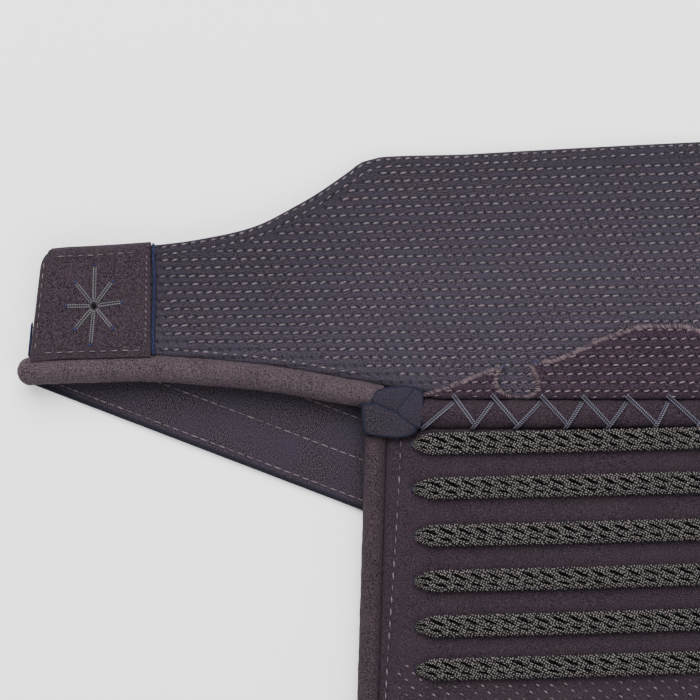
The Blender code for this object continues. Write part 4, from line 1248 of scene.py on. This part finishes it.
def twisted(path, normal, size, pitch, sides):
    """A two-ply cord along a path, as a grid: its section has two lobes that turn with it.

    Radius at angle a and run s: size (0.76 + 0.3 |cos(a - pi s / pitch)|).
    """
    direction = unit(np.gradient(path, axis=0))
    side = unit(np.cross(direction, normal))
    over = np.cross(side, direction)
    run = run_along(path)
    angle = 2 * math.pi * np.arange(sides) / sides
    lobes = 0.76 + 0.3 * np.abs(np.cos(angle - math.pi * run[:, None] / pitch))
    lobes = lobes * round_end(np.minimum(run, run[-1] - run) / size, 0.05)[:, None]
    ring = np.cos(angle)[:, None] * side[:, None] + np.sin(angle)[:, None] * over[:, None]
    uv = np.stack(np.broadcast_arrays(run[:, None], angle * 0.16), axis=-1)
    return path[:, None] + size * lobes[..., None] * ring, uv


def cords(name, paths, normals, size, pitch, finish, seed, sides=9):
    """Many twisted cords in one closed mesh, each with its own tone."""
    points, maps, faces, tones, offset = [], [], [], [], 0
    rng = np.random.default_rng(seed)
    for path, normal in zip(paths, normals):
        grid, uv = twisted(path, normal, size, pitch, sides)
        points.append(grid.reshape(-1, 3))
        maps.append(uv.reshape(-1, 2))
        faces.append([group + offset for group in tube_faces(len(path), sides)])
        tones.append(np.full(len(points[-1]), rng.random()))
        offset += len(points[-1])
    faces = [np.concatenate(groups) for groups in zip(*faces)]
    return piece(
        name, np.concatenate(points), faces, finish,
        {"UVMap": np.concatenate(maps)}, {"tone": np.concatenate(tones)},
    )


def lacing_pass(foot, head, size, strand, crossing):
    """One strand of a pass over the roll, as a path and its normals.

    It goes from foot to head over the roll's round, clears the quilting above it, dives at
    both ends, and is lifted by the crossing where it goes over the pass before.
    """
    way = unit(head - foot)
    reach = LACED_ROLL / 2 + LACING_CLEAR + size * LACING_REST
    flat = foot + (head - foot) * (turn[:, None] + 1) / 2
    flat = flat + strand * STRAND_APART * size * np.array([way[1], -way[0]])
    x, rise = flat[:, 0], flat[:, 1]
    over = crossing * smooth((CROSSING_HALF - np.abs(rise - CROSSING_Y)) / CROSSING_EASE)
    z = seam_z(x) + np.sqrt(np.maximum((reach + over) ** 2 - rise**2, LACING_LEAST))
    rest = np.maximum(band_face(x, rise) + OVER_CLOUD, seam_z(x) + QUILT_CLEAR)
    rest = rest + QUILT_REST * size
    on_quilt = smooth((rise - QUILT_FROM) / QUILT_EASE)
    z = np.maximum(z, rest * on_quilt + z * (1 - on_quilt))
    z = z - LACING_DIVE * smooth((np.abs(turn) - 1) / DIVE_SHARE + 1)
    tilt = np.clip(rise / reach, -STEEPEST, STEEPEST) * (rise < UPRIGHT_FROM)
    normal = np.stack([0 * tilt, tilt, np.sqrt(1 - tilt**2)], axis=-1)
    return np.column_stack([x, SEAM_Y + rise, z]), normal


turn = np.linspace(-1, 1, 27)
rng = np.random.default_rng(73)
steps = LACING_PITCH * np.arange(1, LACING_TURNS + 1)
low_x = np.concatenate([LACING_LOW, LACING_LOW[-1] + steps])
high_x = np.concatenate([LACING_HIGH, LACING_HIGH[-1] + steps])
guessed = np.arange(len(low_x)) >= len(LACING_LOW)
stray = rng.normal(0, LACING_STRAY, (2, len(low_x))) * guessed
low_x, high_x = low_x + stray[0], high_x + stray[1, : len(high_x)]
passes = []
for low, high, following in zip(low_x, high_x, low_x[1:]):
    for first, (foot, head), size, crossing in (
        (low, RISING, STRAND * RISING_SIZE, CROSSING_LIFT), (following, FALLING, STRAND, 0)
    ):
        foot, head = np.add(foot, (first, 0)), np.add(head, (high, 0))
        if max(foot[0], head[0]) <= LACED_HALF - 2:
            passes += [lacing_pass(foot, head, size, strand, crossing) for strand in (-1, 1)]
cords("laced_roll_lacing", *zip(*passes), STRAND, STRAND_TWIST, lacing_cord, seed=72)

# Ear rolls
# A leather roll is sewn under each ear's lower edge, from the corner to its round tip.

EAR_ROLL_SIDES, EAR_ROLL_STEP, EAR_ROLL_PUFF, EAR_CREASE = 22, 0.9, 0.3, 0.03
EAR_TIP, EAR_TIP_ROUND, EAR_ROLL_UNDER = CORNER_X + EAR_REACH + TIP_REACH, 5.0, 6.5

ear_leather = suede("rubbed_leather_ear_roll", "#171115", "#4f444a", "#4b3f43", 1.0)
for side, name in ((-1, "ear_roll_left"), (1, "ear_roll_right")):
    x = side * np.arange(CORNER_X - EAR_ROLL_UNDER, EAR_TIP + 0.01, EAR_ROLL_STEP)
    path = np.column_stack([x, SEAM_Y + roll_rise(x), seam_z(x)])
    creases = wrinkled(len(x), EAR_ROLL_SIDES, EAR_ROLL_STEP, EAR_CREASE, 81 + side)
    shape = round_end((EAR_TIP - np.abs(x)) / EAR_TIP_ROUND, 0.02)[:, None]
    radius = (EAR_ROLL / 2 + EAR_ROLL_PUFF) * creases * shape
    made = sweep(f"{name}_leather", path, radius, ear_leather, EAR_ROLL_SIDES)
    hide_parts(name)

# Ear patches
# Leather sewn over each ear's end, folded over its top edge and down its back.
# A stitched border, a raw blue edge of the cloth under it, and a star of doubled cord.

PATCH_THICK, PATCH_BACK, PATCH_ROUND = 1.2, 30.0, 2.2
PATCH_CLEAR, PATCH_PUFF, PATCH_SWELL = 1.2, (0.08, 4.1, 5.3, 0.0, 1.0, 1.0), 0.25
PATCH_BEND = math.pi / 2 * (PATCH_ROUND + GAP + PATCH_THICK / 2)
BORDER_INNER, BORDER_TOP, BORDER_LOW = -347.0, (-383.0, -2.1), (-388.0, 1.6)
BORDER_RIGHT, BORDER_LEFT, BORDER_ROUND = (-347.0, -347.6), (-391.4, -387.6), 1
BORDER_RADIUS, BORDER_LIFT, BORDER_HIGH, BORDER_STEP, BORDER_FIRST = 0.3, 0.3, 0.22, 0.2, 3
STAR_CENTRE = (-367.8, 43.2)
STAR_ENDS = (
    (-367.4, 59.7), (-360.4, 53.3), (-356.7, 44.8), (-360.4, 34.2),
    (-369.2, 27.6), (-375.5, 33.8), (-379.2, 43.1), (-375.3, 52.6),
)
STAR_INNER, STAR_APART, STAR_SPREAD, STAR_STRAND = 0.5, 0.14, 0.34, 0.33
STAR_SUNK, STAR_ARCH, STAR_TWIST = 0.5, 0.95, 1.4
STAR_BAR, STAR_BAR_HIGH, STAR_BAR_RADIUS = 0.85, 0.25, 0.42
HOLE_HIGH, HOLE_DEEP, HOLE_RADIUS = 0.75, 1.0, 1.0
RAW_X, RAW_ENDS_X, RAW_LOW, RAW_TOP, RAW_RADIUS, RAW_SUNK = -344.0, -344.6, 0.4, 0.9, 0.72, 0.75
RAW_COUNT, RAW_BEND_COUNT, RAW_BEND, RAW_FLAT = 60, 8, 1.6, 0.9
RAW_WAVES = ((0.3, 6.5), (0.1, 1 / 1.9))
TIP_X, TIP_LEAN, TIP_LOW, TIP_HIGH, TIP_COUNT, TIP_RADIUS = 394.2, 0.1, 22.8, 36.8, 24, 0.5
TIP_LEVEL_X, TIP_SUNK = 392.0, 0.6


def patch_place(x, run):
    """A place on the patch, by x and the run up its face, over the edge and down the back.

    run is 0 where the patch turns over the top edge. Two quarter circles join three flats.
    """
    half = EAR_THICK / 2
    outside = PATCH_ROUND + GAP + PATCH_THICK / 2
    level, bend = half - PATCH_ROUND, PATCH_BEND
    first = np.clip(run, 0, bend) / outside
    second = np.clip(run - bend - 2 * level, 0, bend) / outside
    flat = np.clip(run - bend, 0, 2 * level)
    beyond = np.where(run < 0, run, outside * np.sin(first)) - PATCH_ROUND
    beyond = beyond + outside * (np.cos(second) - 1)
    beyond = beyond - np.maximum(run - 2 * bend - 2 * level, 0)
    high = level + outside * np.cos(first) - flat - outside * np.sin(second)
    return np.stack([x, SEAM_Y + band_top(x) + beyond, seam_z(x) + high], axis=-1)


def on_patch(side, points, lift):
    """Places on a patch's face, given along and above the left seam, as points in space."""
    x, rise = np.transpose(points)
    level = seam_z(x) + EAR_THICK / 2 + GAP + PATCH_THICK + lift
    return np.column_stack([side * -x, SEAM_Y + rise, level])


def beside(edge, first, rise):
    """A line beside one of the band's edges, from x first to the border's inner side."""
    x = np.arange(first, BORDER_INNER, 1.5)
    return np.column_stack([x, edge(x) + rise])


patch_leather = suede("smoked_leather_patch", "#110c10", "#3b3038", "#362c31", 1.0)
# The star cord's plies carry strong painted highlight and shade, from 0.2 to 2.0 times the colour.
patch_thread = thread("blue_grey_star_cord", "#454447", "#38373a", 0.9, 0.2, 2.0)
blue_thread = thread("bright_blue_thread", "#262f56", "#1c2442", 0.8)
dark_hole = suede("shadowed_leather_hole", "#060506", "#0c0a0b", "#0a0809")
border_thread = thread("pale_border_thread", "#5f585a", "#484044")
raw_blue = twill("raw_blue_cotton_edge", "#0c0d16", "#2b304c", "#181b2c", 0.7, rough=0.85)

inner = CORNER_X + EAR_REACH - PATCH_WIDE
across = near_edges(1, 0.035, 0.05)
x_flat = inner + (ear_end(1.0) - GAP - inner) * across
front = (band_top(x_flat) - band_low(x_flat) + PATCH_CLEAR - PATCH_ROUND)[:, None]
after = 2 * PATCH_BEND + 2 * (EAR_THICK / 2 - PATCH_ROUND) + PATCH_BACK
stations = np.concatenate([near_edges(1, 0.022, 0.04) - 1, np.linspace(0, 1, 44)[1:]])
patch_run = np.where(stations < 0, front * stations, after * stations)
up = np.clip(1 + np.minimum(patch_run, 0) / front, 0, 1)
patch_x = inner + (ear_end(up) - GAP - inner) * across[:, None]
edge = to_edge(patch_x, patch_run)
patch_half = PATCH_THICK / 2 * edge_round(edge, PATCH_THICK)
swell = PATCH_SWELL * smooth(edge / 8) + puffed(patch_x, patch_run, PATCH_PUFF)
patch_uv = np.stack([patch_x, patch_run], axis=-1)

top_line, low_line = beside(band_top, *BORDER_TOP), beside(band_low, *BORDER_LOW)
right_line = [
    (BORDER_RIGHT[0], top_line[-1, 1] - BORDER_ROUND),
    (BORDER_RIGHT[1], low_line[-1, 1] + BORDER_ROUND),
]
left_line = [
    (BORDER_LEFT[0], low_line[0, 1] + BORDER_ROUND),
    (BORDER_LEFT[1], top_line[0, 1] - BORDER_ROUND),
]
heads, tails = [], []
for line, pitch, seen, slant in (
    (top_line, 20, 12, 0), (right_line, 12, 7, 0.5), (low_line, 22, 14, 0),
    (left_line, 20, 12, 0),
):
    walk = resampled(line, BORDER_STEP)
    pick = np.arange(BORDER_FIRST, len(walk) - seen, pitch)
    heads.append(walk[pick])
    tails.append(walk[pick + seen] + (slant, 0))
border_start, border_end = np.concatenate(heads), np.concatenate(tails)

star_lines, bars = [], []
share = np.linspace(0, 1, 26)[:, None]
for tip in np.array(STAR_ENDS):
    way = unit(tip - STAR_CENTRE)
    across_way = np.array([-way[1], way[0]])
    line = STAR_CENTRE + way * STAR_INNER + (tip - STAR_CENTRE - way * STAR_INNER) * share
    apart = across_way * (STAR_APART + STAR_SPREAD * np.clip(share * 4, 0, 1) ** 0.7)
    star_lines += [line - apart, line + apart]
    bars.append([tip - across_way * STAR_BAR, tip + across_way * STAR_BAR])
bars = np.array(bars)
star_rise = UP * (STAR_ARCH * (1 - np.abs(2 * share - 1) ** 5) - STAR_SUNK)

low, top = band_low(RAW_ENDS_X) - RAW_LOW, band_top(RAW_ENDS_X) + RAW_TOP
raw_line = np.column_stack([np.full(RAW_COUNT, RAW_X), np.linspace(low, top, RAW_COUNT)])
raw_line[:, 0] += sum(high * np.sin(raw_line[:, 1] / long) for high, long in RAW_WAVES)
raw_radius = RAW_RADIUS * blunt(RAW_COUNT, 0.9, 1.2)
tip_rise = np.linspace(TIP_LOW, TIP_HIGH, TIP_COUNT)
tip_radius = TIP_RADIUS * blunt(TIP_COUNT, 0.6, 1.2)
tip_level = np.full(TIP_COUNT, seam_z(TIP_LEVEL_X) - TIP_SUNK)
for side, name in ((-1, "ear_patch_left"), (1, "ear_patch_right")):
    middle = patch_place(patch_x, patch_run) * (side, 1, 1)
    made = wall(
        f"{name}_leather", middle[::side], (patch_half + swell)[::side], patch_half[::side],
        patch_leather, {"UVMap": patch_uv},
    )
    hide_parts(name)
    start, end = (on_patch(side, line, BORDER_HIGH) for line in (border_start, border_end))
    stitches(
        f"{name}_border_thread", start, end, BORDER_RADIUS, border_thread,
        seed=91, lift=BORDER_LIFT,
    )
    paths = [on_patch(side, line, 0) + star_rise for line in star_lines]
    cords(
        f"{name}_star", paths, [UP] * len(paths), STAR_STRAND, STAR_TWIST, patch_thread,
        seed=92, sides=8,
    )
    start, end = (on_patch(side, bars[:, k], STAR_BAR_HIGH) for k in (0, 1))
    stitches(
        f"{name}_star_ends", start, end, STAR_BAR_RADIUS, blue_thread, seed=93
    )
    hole = on_patch(side, [STAR_CENTRE, STAR_CENTRE], HOLE_HIGH)
    hole[0, 2] -= HOLE_DEEP
    path = resampled(hole, 0.2)
    sweep(
        f"{name}_star_middle", path, np.full(len(path), HOLE_RADIUS), dark_hole,
        16, up=(0, 1, 0),
    )
    path = on_patch(side, raw_line, -RAW_SUNK)
    path[-RAW_BEND_COUNT:, 2] -= np.linspace(0, RAW_BEND, RAW_BEND_COUNT)
    sweep(f"{name}_raw_edge", path, raw_radius, raw_blue, 12, RAW_FLAT)
    tip_x = side * (TIP_X - TIP_LEAN * (tip_rise - TIP_LOW))
    path = np.column_stack([tip_x, SEAM_Y + tip_rise, tip_level])
    sweep(f"{name}_end_edge", path, tip_radius, raw_blue, 12)

# Corner bindings
# Navy cotton cloth is wound round each corner where the laced, ear and flap rolls meet.
# Three turned-in folds of it overlap; their rims are dark navy, partly the cloth's worn blue edge
# and partly painted shade at the steps between them.

BINDING_FOLDS = (
    ("back", 5.7, ((-257.6, 6.0), (-255.8, 9.4), (-250.6, 10.9), (-243.6, 11.5), (-238.6, 10.7),
                   (-238.4, 3.0), (-246.0, -1.6), (-256.6, 1.4))),
    ("side", 6.8, ((-239.7, 10.8), (-237.0, 9.9), (-236.2, 8.1), (-236.0, -1.4), (-237.6, -6.4),
                   (-244.0, -3.0), (-247.5, 1.0))),
    ("front", 8.0, ((-261.2, 4.2), (-256.2, 4.8), (-247.2, 1.1), (-238.2, -5.8), (-239.4, -8.0),
                    (-242.0, -9.1), (-246.2, -9.8), (-253.8, -9.1), (-259.8, -7.8), (-260.7, -4.4))),
)
FOLD_PROFILE = (
    (0.02, 1), (0.2, 1), (0.4, 1), (0.58, 0.995), (0.72, 0.99), (0.82, 0.985), (0.89, 0.98),
    (0.94, 0.965), (0.975, 0.93), (1.0, 0.84), (1.0, 0.2), (0.94, 0), (0.02, 0),
)
FOLD_DEEP, FOLD_STEP, FOLD_ROUNDINGS = 6.6, 0.45, 4
FOLD_WAVE, FOLD_WAVE_LONG = 0.14, 1.9
FOLD_HEM_AND_SHADE, FOLD_HEM_AND_SHADE_EASE = 0.84, 0.1


def fold(name, outline, high, low, finish, seed):
    """A folded cloth pad over an outline: nearly flat on top, round at its rim, flat below.

    Point at share t of the profile: centre + (outline - centre) r(t), at height h(t). The top
    also waves a little, by sines across it. Its rim takes the hem colour: the cloth's navy
    edge, partly painted shade.
    """
    line = resampled(np.concatenate([outline, outline[:1]]), FOLD_STEP)[:-1]
    for _ in range(FOLD_ROUNDINGS):
        line = (np.roll(line, 1, axis=0) + 2 * line + np.roll(line, -1, axis=0)) / 4
    middle = line.mean(axis=0)
    reach, height = np.transpose(FOLD_PROFILE)
    turn = np.random.default_rng(seed).random() * 3.14
    place = middle + (line - middle)[None] * reach[:, None, None]
    across = place[..., 0] * math.cos(turn) + place[..., 1] * math.sin(turn)
    wave = np.sin(across / FOLD_WAVE_LONG) * smooth(reach / 0.5)[:, None]
    z = low + (high - low) * height[:, None] + FOLD_WAVE * wave * (height > 0.5)[:, None]
    grid = np.stack([place[..., 0], SEAM_Y + place[..., 1], z], axis=-1)
    # Hem value 1 on the rim: dark navy, partly painted shade of the steps between folds.
    hem = np.broadcast_to(smooth((reach - FOLD_HEM_AND_SHADE) / FOLD_HEM_AND_SHADE_EASE)[:, None], z.shape)
    faces = tube_faces(len(reach), len(line))
    return piece(name, grid, faces, finish, {"UVMap": place}, {"hem": hem})


# The hem colour darkens the folds' rims: partly the cloth's navy folded edge, partly painted shade
# at the steps.
navy = twill("navy_binding_cotton", "#0f0d11", "#383139", "#252430", 0.7, hem="#141626")
level = seam_z(BINDING_INNER + BINDING_LONG / 2)
for side, name in ((-1, "corner_binding_left"), (1, "corner_binding_right")):
    for number, (part, high, outline) in enumerate(BINDING_FOLDS):
        outline = np.array(outline)[::-side] * (-side, 1)
        part = f"{name}_{part}"
        made = fold(part, outline, level + high, level - FOLD_DEEP, navy, 95 + number)
    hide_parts(name)

# Stage
# A pale plain table under soft studio light, from a large lamp above and a little behind.
# Its sizes and places are in metres, and the camera looks straight down.

FLOOR_WIDE, FLOOR_DROP = 6.0, 0.0004
KEY_LAMP = ((-0.5, 1.0, 1.3), (-0.2, 0.1, 0), 1.3, 60)
FILL_LAMP = ((0.4, -0.9, 1.6), (-0.2, 0.0, 0), 1.4, 20)
CAMERA_PLACE, CAMERA_FAR, VIEW_WIDE, SENSOR_WIDE = (-0.2656, 0.0976, 2.012), 2.0, 0.28, 36.0

floor_finish, _, floor_shader = begin("pale_studio_floor", 0.9, 0.1)
floor_shader.inputs["Base Color"].default_value = linear("#f6f5f4")
bpy.ops.mesh.primitive_plane_add(size=FLOOR_WIDE, location=(0, 0, -FLOOR_DROP))
floor = bpy.context.active_object
floor.name = "studio_floor"
floor.data.materials.append(floor_finish)

world = bpy.data.worlds.new("studio")
world.use_nodes = True
world.node_tree.nodes["Background"].inputs["Color"].default_value = linear("#f4f6fa")
world.node_tree.nodes["Background"].inputs["Strength"].default_value = 1.0
bpy.context.scene.world = world


def lamp(name, place, aim, size, power):
    """A square soft lamp at a place, turned towards an aim, both in metres."""
    data = bpy.data.lights.new(name, "AREA")
    data.size = size
    data.energy = power
    made = bpy.data.objects.new(name, data)
    made.location = place
    made.rotation_euler = (Vector(aim) - Vector(place)).to_track_quat("-Z", "Y").to_euler()
    bpy.context.scene.collection.objects.link(made)
    return made


lamp("key_lamp", *KEY_LAMP)
lamp("fill_lamp", *FILL_LAMP)

camera_data = bpy.data.cameras.new("camera")
camera_data.sensor_width = SENSOR_WIDE
camera_data.lens = SENSOR_WIDE * CAMERA_FAR / VIEW_WIDE
camera = bpy.data.objects.new("camera", camera_data)
camera.location = CAMERA_PLACE
camera.rotation_euler = (0, 0, 0)
bpy.context.scene.collection.objects.link(camera)
bpy.context.scene.camera = camera
